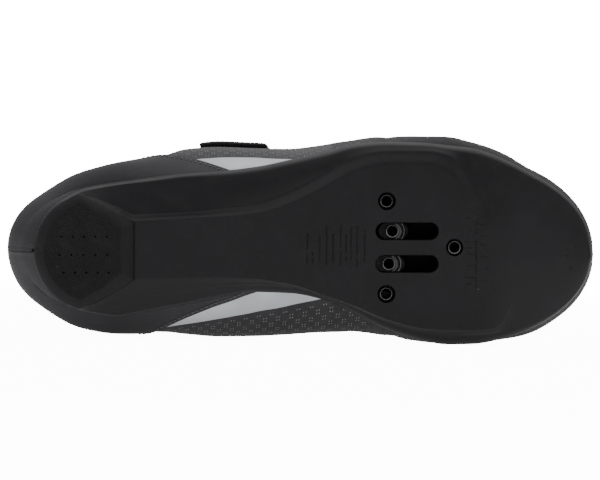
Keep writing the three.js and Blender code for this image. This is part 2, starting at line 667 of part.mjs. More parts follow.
// A slot nut: a block that fills part of the slot, with a threaded barrel and a flange over the sole's inside.
function makeSlotNut({ x, y }) {
  const block = stadium(x, y, slotNutLength, slotWidth - 2 * clearance, slotNutFloor, flangeFloor + 0.5);
  const flange = stadium(
    x, y, slotNutLength + 3, flangeWidth - 2 * clearance, flangeFloor, flangeFloor + flangeThickness,
  );
  const barrel = bar(x, y, barrelRadius, barrelDepth, slotNutFloor + 0.5);
  return block.add(flange).add(barrel).subtract(bar(x, y, threadRadius, belowSole, throughTop));
}

// The heel pad: rubber, flat underneath, with a bevelled rim, on the flat seat at the sole's heel.
function makeHeelPad() {
  const rows = Array.from({ length: 10 }, (_, i) => (padShoulder / soleLength) * (1 - Math.cos((Math.PI / 2) * (i / 9))));
  const line = (side) =>
    rows.map((at) => {
      const edge = side > 0 ? sole.edgeMedial(at) : sole.edgeLateral(at);
      return [at * soleLength, side * edge * endRounding(at)];
    });
  const front = padFrontWidth / 2;
  const outline = [
    ...line(-1), [padLength - 4.5, -front - 3], [padLength, -front],
    [padLength, front], [padLength - 4.5, front + 3], ...line(1).slice(1).reverse(),
  ];
  const seat = sole.level(0) - clearance;
  const centre = padLength / 2;
  const inset = ([x, y]) => {
    const reach = Math.hypot(x - centre, y);
    const share = Math.max(0, reach - padBevel) / reach;
    return [centre + (x - centre) * share, y * share];
  };
  return bevelledPrism(outline, outline.map(inset), 0, padBevelHeight, seat);
}

// A prism whose lowest stretch widens from a foot outline to its full outline.
function bevelledPrism(full, foot, low, middle, high) {
  const rings = [foot.map(([x, y]) => [x, y, low]), full.map(([x, y]) => [x, y, middle]), full.map(([x, y]) => [x, y, high])];
  const count = full.length;
  const index = [];
  for (let ring = 0; ring < 2; ring++) {
    for (let i = 0; i < count; i++) {
      const [a, b] = [ring * count + i, ring * count + ((i + 1) % count)];
      index.push(a, b, b + count, a, b + count, a + count);
    }
  }
  const caps = (outline) => THREE.ShapeUtils.triangulateShape(outline.map(([x, y]) => new THREE.Vector2(x, y)), []);
  for (const [a, b, c] of caps(foot)) index.push(a, c, b);
  for (const [a, b, c] of caps(full)) index.push(2 * count + a, 2 * count + b, 2 * count + c);
  const geometry = new THREE.BufferGeometry();
  geometry.setAttribute("position", new THREE.Float32BufferAttribute(rings.flat(2), 3));
  geometry.setIndex(index);
  return solidOf(geometry);
}

// The heel counter: a moulded cup over the back of the upper, down to the sole's lip.
function makeCounter() {
  const layer = form(clearance + counterThickness).subtract(form(clearance));
  const top = sideLine(COUNTER_LINE, 28);
  const lip = lipHeight + clearance;
  const shares = Array.from({ length: 12 }, (_, i) => 0.41 - (0.51 * i) / 11);
  const bottom = shares.map((at) => [at * soleLength, last.bed(Math.max(0, at)) + lip]);
  const reach = top.filter(([x, z]) => z > last.bed(Math.max(0, x / soleLength)) + lip);
  const front = reach[reach.length - 1][0];
  return layer.intersect(sidePrism([...reach, ...bottom.filter(([x]) => x < front)]));
}

// A strap over the throat, from its root on the medial side to its end on the lateral side.
function strapBand({ centre, width, lateralEnd, medialEnd }) {
  const [top, lateral, medial] = [1.5, lateralEnd, medialEnd].map((share) => share * instepHeight);
  const shift = (z) => centre * soleLength + strapLean * (z - lateral);
  const side = (low, from, to) =>
    sidePrism(
      [
        [shift(low) - width / 2, low], [shift(low) + width / 2, low],
        [shift(top) + width / 2, top], [shift(top) - width / 2, top],
      ],
      from,
      to,
    );
  return side(lateral, -cutterHalf, 0).add(side(medial, -1, cutterHalf));
}

function makeStrap(strap) {
  return form(clearance + strapThickness).subtract(form(clearance)).intersect(strapBand(strap));
}

// The pieces, with their looks and their material's weight.
const black = new THREE.Color(0.03, 0.03, 0.033);
const charcoal = new THREE.Color(0.055, 0.052, 0.056);
const PIECES = [
  { name: "upper", solid: makeUpper(), color: charcoal, roughness: 0.75, metalness: 0, density: DENSITY.cloth },
  { name: "tongue", solid: makeTongue(), color: charcoal, roughness: 0.85, metalness: 0, density: DENSITY.foam },
  { name: "insole", solid: makeInsole(), color: black, roughness: 0.9, metalness: 0, density: DENSITY.foam },
  { name: "outsole", solid: makeOutsole(), color: black, roughness: 0.5, metalness: 0, density: DENSITY.nylon },
  { name: "heel_pad", solid: makeHeelPad(), color: black, roughness: 0.7, metalness: 0, density: DENSITY.rubber },
  { name: "heel_counter", solid: makeCounter(), color: black, roughness: 0.6, metalness: 0, density: DENSITY.nylon },
];
for (const place of insertPlaces) {
  PIECES.push({ name: place.name, solid: makeInsert(place), color: black, roughness: 0.35, metalness: 1, density: DENSITY.steel });
}
for (const place of slotPlaces) {
  PIECES.push({ name: place.name, solid: makeSlotNut(place), color: black, roughness: 0.35, metalness: 1, density: DENSITY.steel });
}
for (const strap of STRAPS) {
  PIECES.push({ name: strap.name, solid: makeStrap(strap), color: charcoal, roughness: 0.6, metalness: 0, density: DENSITY.cloth });
}

function geometryOf(solid) {
  const mesh = solid.getMesh();
  const geometry = new THREE.BufferGeometry();
  geometry.setAttribute("position", new THREE.BufferAttribute(new Float32Array(mesh.vertProperties), 3));
  geometry.setIndex(new THREE.BufferAttribute(new Uint32Array(mesh.triVerts), 1));
  geometry.computeVertexNormals();
  return geometry;
}

const group = new THREE.Group();
for (const { name, solid, color, roughness, metalness } of PIECES) {
  const mesh = new THREE.Mesh(geometryOf(solid), new THREE.MeshStandardMaterial({ color, roughness, metalness }));
  mesh.name = name;
  group.add(mesh);
}

// Where the shoe's weight lies, summed over the tetrahedra between each triangle and the origin.
function centreOfWeight() {
  const sum = new THREE.Vector3();
  let weight = 0;
  const [a, b, c] = [new THREE.Vector3(), new THREE.Vector3(), new THREE.Vector3()];
  group.children.forEach((mesh, n) => {
    const { position } = mesh.geometry.attributes;
    const index = mesh.geometry.index.array;
    for (let i = 0; i < index.length; i += 3) {
      a.fromBufferAttribute(position, index[i]);
      b.fromBufferAttribute(position, index[i + 1]);
      c.fromBufferAttribute(position, index[i + 2]);
      const part = (a.dot(b.clone().cross(c)) / 6) * PIECES[n].density;
      weight += part;
      sum.addScaledVector(a.clone().add(b).add(c), part / 4);
    }
  });
  return sum.divideScalar(weight);
}

// The plane that the shoe lies on: of the faces of its convex hull that its weight lies straight over, the one that
// faces the medial side most.
function restingNormal() {
  const points = [];
  for (const mesh of group.children) {
    const { position } = mesh.geometry.attributes;
    for (let i = 0; i < position.count; i++) points.push(new THREE.Vector3().fromBufferAttribute(position, i));
  }
  const hull = new ConvexHull().setFromPoints(points);
  const weight = centreOfWeight();
  const medial = new THREE.Vector3(0, 1, 0);
  let best = medial;
  let steepest = 0;
  for (const face of hull.faces) {
    const corners = [face.getEdge(0), face.getEdge(1), face.getEdge(2)].map((edge) => edge.head().point);
    const distance = face.normal.dot(corners[0]) - face.normal.dot(weight);
    const foot = weight.clone().addScaledVector(face.normal, distance);
    const inside = corners.every((corner, i) => {
      const next = corners[(i + 1) % 3];
      return next.clone().sub(corner).cross(foot.clone().sub(corner)).dot(face.normal) >= 0;
    });
    const facing = face.normal.dot(medial);
    if (inside && facing > steepest) [steepest, best] = [facing, face.normal.clone()];
  }
  return best;
}

// Tip the shoe on to that plane, point its toe along +X, and put the origin under the middle of its box.
const down = new THREE.Vector3(0, 0, -1);
group.quaternion.setFromUnitVectors(restingNormal(), down);
const toe = new THREE.Vector3(1, 0, 0).applyQuaternion(group.quaternion);
group.quaternion.premultiply(new THREE.Quaternion().setFromAxisAngle(new THREE.Vector3(0, 0, 1), -Math.atan2(toe.y, toe.x)));
group.updateMatrixWorld(true);
const box = new THREE.Box3().setFromObject(group, true);
const middle = box.getCenter(new THREE.Vector3());
group.position.set(-middle.x, -middle.y, -box.min.z);

export default group;
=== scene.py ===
"""A right road cycling shoe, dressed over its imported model. Sizes are in the shoe's own frame, in mm."""

import json
import math

import bpy
import numpy as np
from mathutils import Matrix, Vector


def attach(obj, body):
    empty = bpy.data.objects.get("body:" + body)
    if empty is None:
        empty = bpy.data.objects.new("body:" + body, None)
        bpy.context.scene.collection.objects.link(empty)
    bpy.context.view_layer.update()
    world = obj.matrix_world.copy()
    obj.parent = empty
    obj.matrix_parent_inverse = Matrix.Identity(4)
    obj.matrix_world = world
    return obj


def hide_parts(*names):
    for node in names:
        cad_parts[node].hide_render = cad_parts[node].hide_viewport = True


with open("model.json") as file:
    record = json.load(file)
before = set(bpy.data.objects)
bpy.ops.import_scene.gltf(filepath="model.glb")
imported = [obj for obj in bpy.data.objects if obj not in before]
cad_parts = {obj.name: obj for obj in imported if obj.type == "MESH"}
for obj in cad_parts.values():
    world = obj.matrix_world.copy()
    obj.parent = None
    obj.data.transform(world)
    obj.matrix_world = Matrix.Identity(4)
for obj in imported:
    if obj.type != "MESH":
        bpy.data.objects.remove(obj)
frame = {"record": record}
bpy.context.view_layer.update()

# The shoe's own frame: x from heel to toe, y to the medial side, z up from the ground under its sole. The
# record's cleat seat gives where that frame lies in the row.
SEAT_POINT = Vector((178.0, -2.1, 0.0))
seat = next(m for m in frame["record"]["mounts"] if m["name"] == "cleat_seat")
up = -Vector(seat["axis"]).normalized()
toeward = Vector((up.z, 0.0, -up.x)).normalized()
medial = up.cross(toeward)
turn = Matrix((toeward, medial, up)).transposed()
origin = Vector(seat["pos_m"]) - turn @ (SEAT_POINT / 1000)


def row(x, y, z):
    """A point of the shoe's own frame, in the row's metres."""
    return origin + turn @ Vector((x, y, z)) / 1000


# Camera: it looks almost straight at the sole, from a little behind and a little from the lateral side.
AIM = (130.0, -5.85, 0.0)
LOOK = Vector((0.087, 0.05, 1.0)).normalized()
DISTANCE = 1500.0
PIXELS_PER_MM = 2.05

camera_data = bpy.data.cameras.new("camera")
camera_data.sensor_width = 36.0
camera_data.lens = 36.0 * PIXELS_PER_MM * DISTANCE / 600.0
camera_data.clip_start, camera_data.clip_end = 0.05, 20.0
camera = bpy.data.objects.new("camera", camera_data)
bpy.context.collection.objects.link(camera)
bpy.context.scene.camera = camera
back = -(turn @ LOOK)
right = (toeward - back * toeward.dot(back)).normalized()
camera.matrix_world = Matrix.Translation(row(*AIM) + back * DISTANCE / 1000) @ Matrix(
    (right, back.cross(right), back)
).transposed().to_4x4()

# The last: the form that the upper, its overlays, tongue, straps and insole are all drawn from. Its tables
# are shares of the length, the ball's width or the instep's height. They are read more finely than in the
# solids, and drawn closer to the real outline at the waist and the toe.
LENGTH = 275.0
BALL = 96.0
INSTEP = 100.0
GAP = 0.3
LIP_THICKNESS = 1.4
LAST = {
    "at": (
        0, 0.04, 0.09, 0.15, 0.21, 0.28, 0.34, 0.4, 0.46, 0.52, 0.58, 0.63, 0.68, 0.74, 0.79, 0.85, 0.9, 0.95,
        1,
    ),
    "drift": (0, 0, 0, 0, 0, 0, 0, 0, 0, 0, 0, 0, 0, 0.002, 0.007, 0.014, 0.021, 0.026, 0.031),
    "lateral": (
        0.368, 0.34, 0.377, 0.428, 0.46, 0.514, 0.524, 0.518, 0.516, 0.536, 0.567, 0.583, 0.587, 0.588,
        0.564, 0.518, 0.483, 0.483, 0.489,
    ),
    "medial": (
        0.385, 0.362, 0.392, 0.424, 0.43, 0.454, 0.47, 0.468, 0.456, 0.44, 0.432, 0.444, 0.469, 0.484,
        0.474, 0.46, 0.464, 0.458, 0.458,
    ),
    "bed": (
        0.195, 0.195, 0.195, 0.193, 0.19, 0.18, 0.168, 0.15, 0.12, 0.095, 0.076, 0.07, 0.07, 0.072, 0.08,
        0.108, 0.15, 0.2, 0.247,
    ),
    "wide": (
        0.3, 0.3, 0.29, 0.295, 0.345, 0.43, 0.47, 0.46, 0.41, 0.35, 0.29, 0.24, 0.205, 0.19, 0.2, 0.225,
        0.26, 0.3, 0.33,
    ),
    "top": (
        0.96, 1.04, 1.1, 1.14, 1.15, 1.12, 1.05, 0.975, 0.9, 0.83, 0.76, 0.705, 0.655, 0.605, 0.57, 0.53,
        0.5, 0.465, 0.43,
    ),
    "ridge": (
        0, 0, 0, 0, 0, 0.01, 0.02, 0.03, 0.042, 0.055, 0.065, 0.07, 0.073, 0.07, 0.062, 0.05, 0.042, 0.035,
        0.031,
    ),
    "full": (
        1.35, 1.35, 1.35, 1.35, 1.35, 1.45, 1.6, 1.75, 1.85, 1.95, 2.0, 2.05, 2.1, 2.15, 2.2, 2.25, 2.3,
        2.3, 2.3,
    ),
}
SOLE = {
    "at": (
        0, 0.04, 0.09, 0.15, 0.18, 0.21, 0.28, 0.34, 0.4, 0.46, 0.52, 0.575, 0.63, 0.7, 0.74, 0.79, 0.85,
        0.9, 0.95, 1,
    ),
    "edge_lateral": (
        0.3, 0.295, 0.308, 0.335, 0.345, 0.354, 0.376, 0.382, 0.402, 0.439, 0.48, 0.523, 0.536, 0.532,
        0.519, 0.501, 0.455, 0.429, 0.424, 0.432,
    ),
    "edge_medial": (
        0.295, 0.296, 0.303, 0.326, 0.312, 0.294, 0.252, 0.213, 0.186, 0.19, 0.222, 0.292, 0.367, 0.422,
        0.435, 0.429, 0.406, 0.398, 0.386, 0.36,
    ),
    "flare_lateral": (
        0.016, 0.016, 0.016, 0.016, 0.018, 0.02, 0.022, 0.025, 0.026, 0.026, 0.025, 0.024, 0.023, 0.023,
        0.026, 0.031, 0.031, 0.029, 0.026, 0.023,
    ),
    "flare_medial": (
        0.016, 0.016, 0.016, 0.016, 0.02, 0.024, 0.03, 0.031, 0.031, 0.031, 0.031, 0.032, 0.034, 0.042,
        0.047, 0.047, 0.04, 0.031, 0.026, 0.023,
    ),
    "level": (
        0.048, 0.048, 0.048, 0.048, 0.05, 0.058, 0.08, 0.086, 0.07, 0.042, 0.018, 0, 0, 0, 0.005, 0.022,
        0.06, 0.105, 0.155, 0.2,
    ),
    "edge_up": (
        0.012, 0.012, 0.028, 0.06, 0.07, 0.07, 0.065, 0.059, 0.055, 0.053, 0.052, 0.05, 0.043, 0.04, 0.038,
        0.035, 0.028, 0.022, 0.018, 0.014,
    ),
    "rise": (
        0.005, 0.005, 0.012, 0.026, 0.03, 0.032, 0.032, 0.03, 0.03, 0.03, 0.03, 0.03, 0.026, 0.025, 0.022,
        0.012, 0.01, 0.006, 0.005, 0.005,
    ),
}
IN_HEIGHTS = ("bed", "wide", "top", "level", "edge_up", "rise")
HEEL_CURVE = ((0.195, 0.24, 0.33, 0.42, 0.55, 0.68, 0.8, 1.0), (-0.1, 0.42, 0.96, 1.0, 0.72, 0.4, 0.1, -0.6))
HEEL_OVERHANG, HEEL_REACH, HEEL_ROUND, HEEL_SETBACK = 10.9, 60.0, 30.0, 0.9
TOE_OVERHANG, TOE_REACH, TOE_ROUND, TOE_DOME, TOE_LENGTHEN = 3.6, 55.0, 50.0, 13.0, 2.4
FEATHER_RADIUS = 4.5
# Steps round half a section: the flat bed's edge, the end of its corner, the widest level and the ridge.
CENTRE_STEP, CORNER_STEP, WIDEST_STEP, TOP_STEP = 1.0, 3.0, 7.0, 14.0


def smooth_curve(xs, ys, at):
    """The monotone cubic through a table's column, held level past its ends."""
    xs, ys = np.asarray(xs, float), np.asarray(ys, float)
    slope = np.diff(ys) / np.diff(xs)
    tangent = np.empty_like(ys)
    tangent[0], tangent[-1] = slope[0], slope[-1]
    product, total = slope[:-1] * slope[1:], slope[:-1] + slope[1:]
    tangent[1:-1] = np.where(product > 0, 2 * product / np.where(total == 0, 1, total), 0)
    at = np.clip(at, xs[0], xs[-1])
    i = np.clip(np.searchsorted(xs, at, side="right") - 1, 0, len(xs) - 2)
    h = xs[i + 1] - xs[i]
    t = (at - xs[i]) / h
    return (
        (2 * t**3 - 3 * t**2 + 1) * ys[i]
        + (t**3 - 2 * t**2 + t) * h * tangent[i]
        + (3 * t**2 - 2 * t**3) * ys[i + 1]
        + (t**3 - t**2) * h * tangent[i + 1]
    )


def read(table, name, at):
    """A column of one of the tables at a share of the length, in millimetres."""
    size = 1.0 if name == "full" else INSTEP if name in IN_HEIGHTS else BALL
    return smooth_curve(table["at"], table[name], at) * size


def ease(low, high, value):
    """0 below low, 1 above high, and smooth between."""
    t = np.clip((np.asarray(value, float) - low) / (high - low), 0, 1)
    return t * t * (3 - 2 * t)


def along(at):
    """How far along the shoe a share of the length is, with the ends drawn to the real outline."""
    heel = HEEL_SETBACK * np.maximum(0, 1 - at * LENGTH / 40) ** 2
    return at * LENGTH + heel + TOE_LENGTHEN * ease(0.86, 1.0, at)


def end_rounding(at):
    """The share of its full width that an outline has near its round ends."""
    heel = np.maximum(0, 1 - at * LENGTH / HEEL_ROUND)
    toe = np.maximum(0, 1 - (1 - at) * LENGTH / TOE_ROUND)
    return np.sqrt(np.maximum(0, 1 - heel**2)) * np.sqrt(np.maximum(0, 1 - toe**2))


def side_name(name, side):
    return name + ("_medial" if side > 0 else "_lateral")


def feather_half(at, side):
    """Half the upper's width where it turns under the foot, just inside the sole's lip."""
    edge = read(SOLE, side_name("edge", side), at) + read(SOLE, side_name("flare", side), at)
    return edge - LIP_THICKNESS - GAP


def section(at, side, k):
    """Points of half a section of the last. k is 0 mid-bed, 7 at the widest level and 14 at the top."""
    at, k = np.broadcast_arrays(np.asarray(at, float), np.asarray(k, float))
    shrink = end_rounding(at)
    bed, wide, top = (read(LAST, name, at) for name in ("bed", "wide", "top"))
    half = feather_half(at, side) * shrink
    radius = np.minimum(FEATHER_RADIUS, half * 0.7)
    widest = read(LAST, "medial" if side > 0 else "lateral", at) * shrink
    ridge = read(LAST, "ridge", at) * shrink * side
    turned = np.clip((k - CENTRE_STEP) / (CORNER_STEP - CENTRE_STEP), 0, 1) * math.pi / 2
    rise = np.clip((k - CORNER_STEP) / (WIDEST_STEP - CORNER_STEP), 0, 1)
    angle = np.clip((k - WIDEST_STEP) / (TOP_STEP - WIDEST_STEP), 0, 1) * math.pi / 2
    power = 2 / read(LAST, "full", at)
    y = (half - radius) * np.clip(k, 0, 1) + radius * np.sin(turned)
    z = bed + radius * (1 - np.cos(turned))
    y = y + (widest - half) * rise * (2 - rise)
    z = z + (wide - bed - radius) * rise
    on_roof = k > WIDEST_STEP
    cosine = np.maximum(np.cos(angle), 0) ** power
    sine = np.maximum(np.sin(angle), 0) ** power
    y = np.where(on_roof, ridge + (widest - ridge) * cosine, y)
    z = np.where(on_roof, wide + (top - wide) * sine, z)
    heel_pull = np.maximum(0, 1 - at * LENGTH / HEEL_REACH) ** 2
    toe_pull = np.maximum(0, 1 - (1 - at) * LENGTH / TOE_REACH) ** 2
    below = np.clip((z - bed) / (wide - bed), 0, 1)
    above = np.clip((z - wide) / (top - wide), 0, 1)
    x = at * LENGTH + TOE_LENGTHEN * ease(0.86, 1.0, at)
    x = x - HEEL_OVERHANG * smooth_curve(*HEEL_CURVE, z / INSTEP) * heel_pull
    x = x + (TOE_OVERHANG * below - TOE_DOME * above**2) * toe_pull
    return np.stack((x, read(LAST, "drift", at) + side * y, z), axis=-1)


# Upper: one wall of synthetic microfibre from the lasting margin to the collar and the throat. Its rim is
# padded and rolled, a silver film lies over both sides of the arch, and rows of small marks run over the
# film's top edge.
WALL = 2.2
# The collar's top line and half the throat's width, each against the share of the length.
COLLAR = (
    (-0.08, -0.02, 0.03, 0.09, 0.15, 0.205, 0.26, 0.31, 0.345, 0.36),
    (0.81, 0.8, 0.775, 0.7, 0.63, 0.61, 0.66, 0.77, 0.9, 1.04),
)
THROAT = ((0.28, 0.36, 0.46, 0.58, 0.68, 0.73, 0.745), (0.2, 0.185, 0.16, 0.125, 0.09, 0.06, 0.02))


def collar_height(x):
    """The collar's top line, and far above everything past its front."""
    height = smooth_curve(*COLLAR, x / LENGTH) * INSTEP
    return np.where(x > COLLAR[0][-1] * LENGTH, 1e3, height)


def throat_half(x):
    half = smooth_curve(*THROAT, x / LENGTH) * BALL
    return np.where((x < THROAT[0][0] * LENGTH) | (x > THROAT[0][-1] * LENGTH), -1, half)


def grid_faces(rows, columns, offset=0, flip=False, wrap=False):
    """Quads of a grid of points, numbered row by row. wrap joins its last column to its first."""
    index = np.arange(rows * columns).reshape(rows, columns) + offset
    if wrap:
        index = np.concatenate((index, index[:, :1]), axis=1)
    quads = np.stack((index[:-1, :-1], index[1:, :-1], index[1:, 1:], index[:-1, 1:]), axis=-1).reshape(-1, 4)
    return quads[:, ::-1] if flip else quads


def same_place(points):
    """A key for each point that points at one place share."""
    return np.floor(points / 2e-3 + 0.37).astype(np.int64)


def weld(points, faces):
    """Merges points that coincide. Gives the merged points, the faces, and where each old point went."""
    _, first, back = np.unique(same_place(points), axis=0, return_index=True, return_inverse=True)
    back = back.reshape(-1)
    kept = []
    for face in back[faces].tolist():
        corners = [c for i, c in enumerate(face) if c != face[i - 1]]
        if len(corners) > 2 and len(set(corners)) == len(corners):
            kept.append(corners)
    return points[first], kept, back


def vertex_normals(points, faces):
    """Unit normals of a grid's points, shared where points coincide."""
    _, back = np.unique(same_place(points), axis=0, return_inverse=True)
    back = back.reshape(-1)
    diagonal = np.cross(points[faces[:, 2]] - points[faces[:, 0]], points[faces[:, 3]] - points[faces[:, 1]])
    total = np.zeros((back.max() + 1, 3))
    for corner in range(4):
        np.add.at(total, back[faces[:, corner]], diagonal)
    normals = total[back]
    return normals / np.maximum(np.linalg.norm(normals, axis=1, keepdims=True), 1e-9)


def make_object(name, points, faces, materials, face_materials=None, sharp=None, **attributes):
    """A mesh from points of the shoe's frame. Each attribute is one number for every point."""
    mesh = bpy.data.meshes.new(name)
    in_row = points @ np.array(turn).T / 1000 + np.array(origin)
    mesh.from_pydata(in_row.tolist(), [], [list(face) for face in faces])
    for material in materials:
        mesh.materials.append(material)
    if face_materials is not None:
        mesh.polygons.foreach_set("material_index", np.asarray(face_materials, np.int32))
    mesh.shade_smooth()
    if sharp:
        mesh.set_sharp_from_angle(angle=math.radians(sharp))
    attributes["shoe"] = points
    for key, values in attributes.items():
        kind = "FLOAT_VECTOR" if np.ndim(values) == 2 else "FLOAT"
        field = "vector" if kind == "FLOAT_VECTOR" else "value"
        layer = mesh.attributes.new(key, kind, "POINT")
        layer.data.foreach_set(field, np.asarray(values, np.float32).ravel())
    mesh.update()
    made = bpy.data.objects.new(name, mesh)
    bpy.context.collection.objects.link(made)
    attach(made, "root")
    return made


class Shading:
    """Builds a node tree a line at a time. An input is a number, a tuple or another node's output."""

    def __init__(self, tree):
        self.tree = tree

    def add(self, kind, inputs=(), out=0, **settings):
        node = self.tree.nodes.new(kind)
        for key, value in settings.items():
            setattr(node, key, value)
        for key, value in dict(inputs).items():
            if isinstance(value, bpy.types.NodeSocket):
                self.tree.links.new(value, node.inputs[key])
            else:
                node.inputs[key].default_value = value
        return node.outputs[out]

    def math(self, operation, *values):
        return self.add("ShaderNodeMath", enumerate(values), operation=operation)

    def times(self, a, b, plus=None):
        """The product of two, with a third added where one is given."""
        return self.math("MULTIPLY", a, b) if plus is None else self.math("MULTIPLY_ADD", a, b, plus)

    def ramp(self, value, low, high, start=0.0, end=1.0):
        """A smooth step from start to end as the value goes from low to high."""
        inputs = {"Value": value, "From Min": low, "From Max": high, "To Min": start, "To Max": end}
        return self.add("ShaderNodeMapRange", inputs, interpolation_type="SMOOTHSTEP")

    def near(self, value, middle, outer, inner):
        """1 within the inner distance of the middle and 0 past the outer one."""
        return self.ramp(self.math("ABSOLUTE", self.math("SUBTRACT", value, middle)), outer, inner)

    def mix(self, share, a, b):
        a, b = ((*v, 1.0) if isinstance(v, tuple) and len(v) == 3 else v for v in (a, b))
        return self.add("ShaderNodeMix", {0: share, 6: a, 7: b}, out=2, data_type="RGBA")

    def attribute(self, name, out="Fac"):
        return self.add("ShaderNodeAttribute", out=out, attribute_name=name)

    def parts(self, vector):
        node = self.add("ShaderNodeSeparateXYZ", {0: vector}).node
        return node.outputs[0], node.outputs[1], node.outputs[2]

    def vector(self, x, y, z=0.0):
        return self.add("ShaderNodeCombineXYZ", {0: x, 1: y, 2: z})

    def noise(self, vector, size, detail=2.0, roughness=0.5):
        """Noise whose features are about size millimetres across."""
        inputs = {"Vector": vector, "Scale": 1.0 / size, "Detail": detail, "Roughness": roughness}
        return self.add("ShaderNodeTexNoise", inputs)

    def group(self, tree, **inputs):
        node = self.tree.nodes.new("ShaderNodeGroup")
        node.node_tree = tree
        for key, value in inputs.items():
            socket = node.inputs[key.replace("_", " ").capitalize()]
            if isinstance(value, bpy.types.NodeSocket):
                self.tree.links.new(value, socket)
            else:
                socket.default_value = value
        return node.outputs

    def finish(self, colour, roughness, height, **settings):
        """Feeds the shader a varying colour, roughness and height (in mm), and sets its plain values."""
        shader = self.tree.nodes["Principled BSDF"]
        normal = self.add("ShaderNodeBump", {"Height": height, "Strength": 1.0, "Distance": 0.001})
        for key, value in (("Base Color", colour), ("Roughness", roughness), ("Normal", normal)):
            self.tree.links.new(value, shader.inputs[key])
        for key, value in settings.items():
            shader.inputs[key.replace("_", " ")].default_value = value
        return self.material


def node_group(name, inputs, outputs):
    """An empty shader group: its tree, a builder for it, and its inputs."""
    kinds = {"value": "NodeSocketFloat", "vector": "NodeSocketVector", "colour": "NodeSocketColor"}
    tree = bpy.data.node_groups.new(name, "ShaderNodeTree")
    for label, kind in inputs.items():
        tree.interface.new_socket(label, in_out="INPUT", socket_type=kinds[kind])
    for label, kind in outputs.items():
        tree.interface.new_socket(label, in_out="OUTPUT", socket_type=kinds[kind])
    tree.nodes.new("NodeGroupOutput")
    return tree, Shading(tree), tree.nodes.new("NodeGroupInput").outputs


def put(shading, **links):
    """Links outputs to a group's own output sockets."""
    sink = next(node for node in shading.tree.nodes if node.bl_idname == "NodeGroupOutput")
    for key, value in links.items():
        shading.tree.links.new(value, sink.inputs[key.capitalize()])


def tint(colour, times):
    return tuple(c * times for c in colour)


def material_tree(name):
    """A new material and the builder of its node tree."""
    material = bpy.data.materials.new(name)
    material.use_nodes = True
    shading = Shading(material.node_tree)
    shading.material = material
    return shading


# Grain: the pebbled surface of microfibre, rubber and moulded nylon, with a slow change of tone.
grain, g, given = node_group(
    "grain", {"Vector": "vector", "Size": "value"}, {"Height": "value", "Tone": "value"}
)
finer = g.math("DIVIDE", 1.0, given["Size"])
scaled = g.add("ShaderNodeVectorMath", {0: given["Vector"], 3: finer}, operation="SCALE")
fine = g.add("ShaderNodeTexNoise", {"Vector": scaled, "Scale": 1.0, "Detail": 3.0, "Roughness": 0.6})
pebble = g.add("ShaderNodeTexVoronoi", {"Vector": scaled, "Scale": 0.8}, feature="SMOOTH_F1")
slow = g.add("ShaderNodeTexNoise", {"Vector": given["Vector"], "Scale": 0.035, "Detail": 2.0})
put(g, height=g.times(pebble, 0.7, g.times(fine, 0.6)), tone=slow)

# Weave: the small cells of a knitted or woven textile, from flat coordinates in millimetres.
weave, g, given = node_group(
    "weave", {"Vector": "vector", "Pitch": "value"}, {"Height": "value", "Gap": "value"}
)
u, v, _ = g.parts(given["Vector"])
u = g.times(g.math("DIVIDE", u, given["Pitch"]), 2 * math.pi)
v = g.times(g.math("DIVIDE", v, given["Pitch"]), 2 * math.pi)
half = g.times(v, 0.5)
cells = g.times(g.math("SINE", g.math("ADD", u, g.math("SINE", half))), g.math("SINE", v))
fuzz = g.add("ShaderNodeTexNoise", {"Vector": given["Vector"], "Scale": 3.0, "Detail": 2.0})
put(g, height=g.times(cells, 0.5, g.times(fuzz, 0.7)), gap=g.ramp(cells, -0.2, -0.9))

# Wear: faint cloudy dust and pale specks.
wear, g, given = node_group(
    "wear", {"Vector": "vector", "Share": "value"}, {"Dust": "value", "Speck": "value"}
)
cloudy = {"Vector": given["Vector"], "Scale": 0.09, "Detail": 5.0, "Roughness": 0.7}
cloud = g.add("ShaderNodeTexNoise", cloudy)
cell = g.add("ShaderNodeTexVoronoi", {"Vector": given["Vector"], "Scale": 0.16}).node
chosen = g.math("GREATER_THAN", g.parts(cell.outputs["Color"])[0], g.math("SUBTRACT", 1.0, given["Share"]))
speck = g.times(chosen, g.ramp(cell.outputs["Distance"], 0.05, 0.02))
put(g, dust=g.ramp(cloud, 0.45, 0.8), speck=speck)


def toned(shading, pebbles, colour, times):
    """A colour that drifts slowly to a lighter one."""
    return shading.mix(shading.ramp(pebbles["Tone"], 0.3, 0.7), colour, tint(colour, times))


def weathered(shading, colour, dirt, dust, specks=(0, None)):
    """A colour under dust and specks, each given as a share and a tone."""
    for mask, (share, tone) in (("Dust", dust), ("Speck", specks)):
        if share:
            colour = shading.mix(shading.times(dirt[mask], share), colour, tone)
    return colour


# Marks: staggered rows of small clusters, each of four dots. All the inputs are in millimetres.
marks, g, given = node_group(
    "marks", dict.fromkeys(("Along", "Across", "Pitch", "Rows", "Apart", "Size"), "value"), {"Mask": "value"}
)
row_number = g.math("FLOOR", g.math("DIVIDE", given["Across"], given["Rows"]))
shift = g.times(g.math("MODULO", row_number, 2.0), g.times(given["Pitch"], 0.5))
shifted = g.math("ADD", given["Along"], shift)
off = []
for place, pitch in ((shifted, given["Pitch"]), (given["Across"], given["Rows"])):
    share = g.math("SUBTRACT", g.math("FRACT", g.math("DIVIDE", place, pitch)), 0.5)
    off.append(g.math("SUBTRACT", g.math("ABSOLUTE", g.times(share, pitch)), given["Apart"]))
reach = g.math("SQRT", g.math("ADD", g.times(off[0], off[0]), g.times(off[1], off[1])))
put(g, mask=g.ramp(g.math("DIVIDE", reach, given["Size"]), 1.1, 0.7))

COLLAR_PADDING = 4.4
PADDING_DEPTH = 24.0
UPPER_STATIONS = 230
UPPER_ROWS = 84
THROAT_FLOOR = 42.0

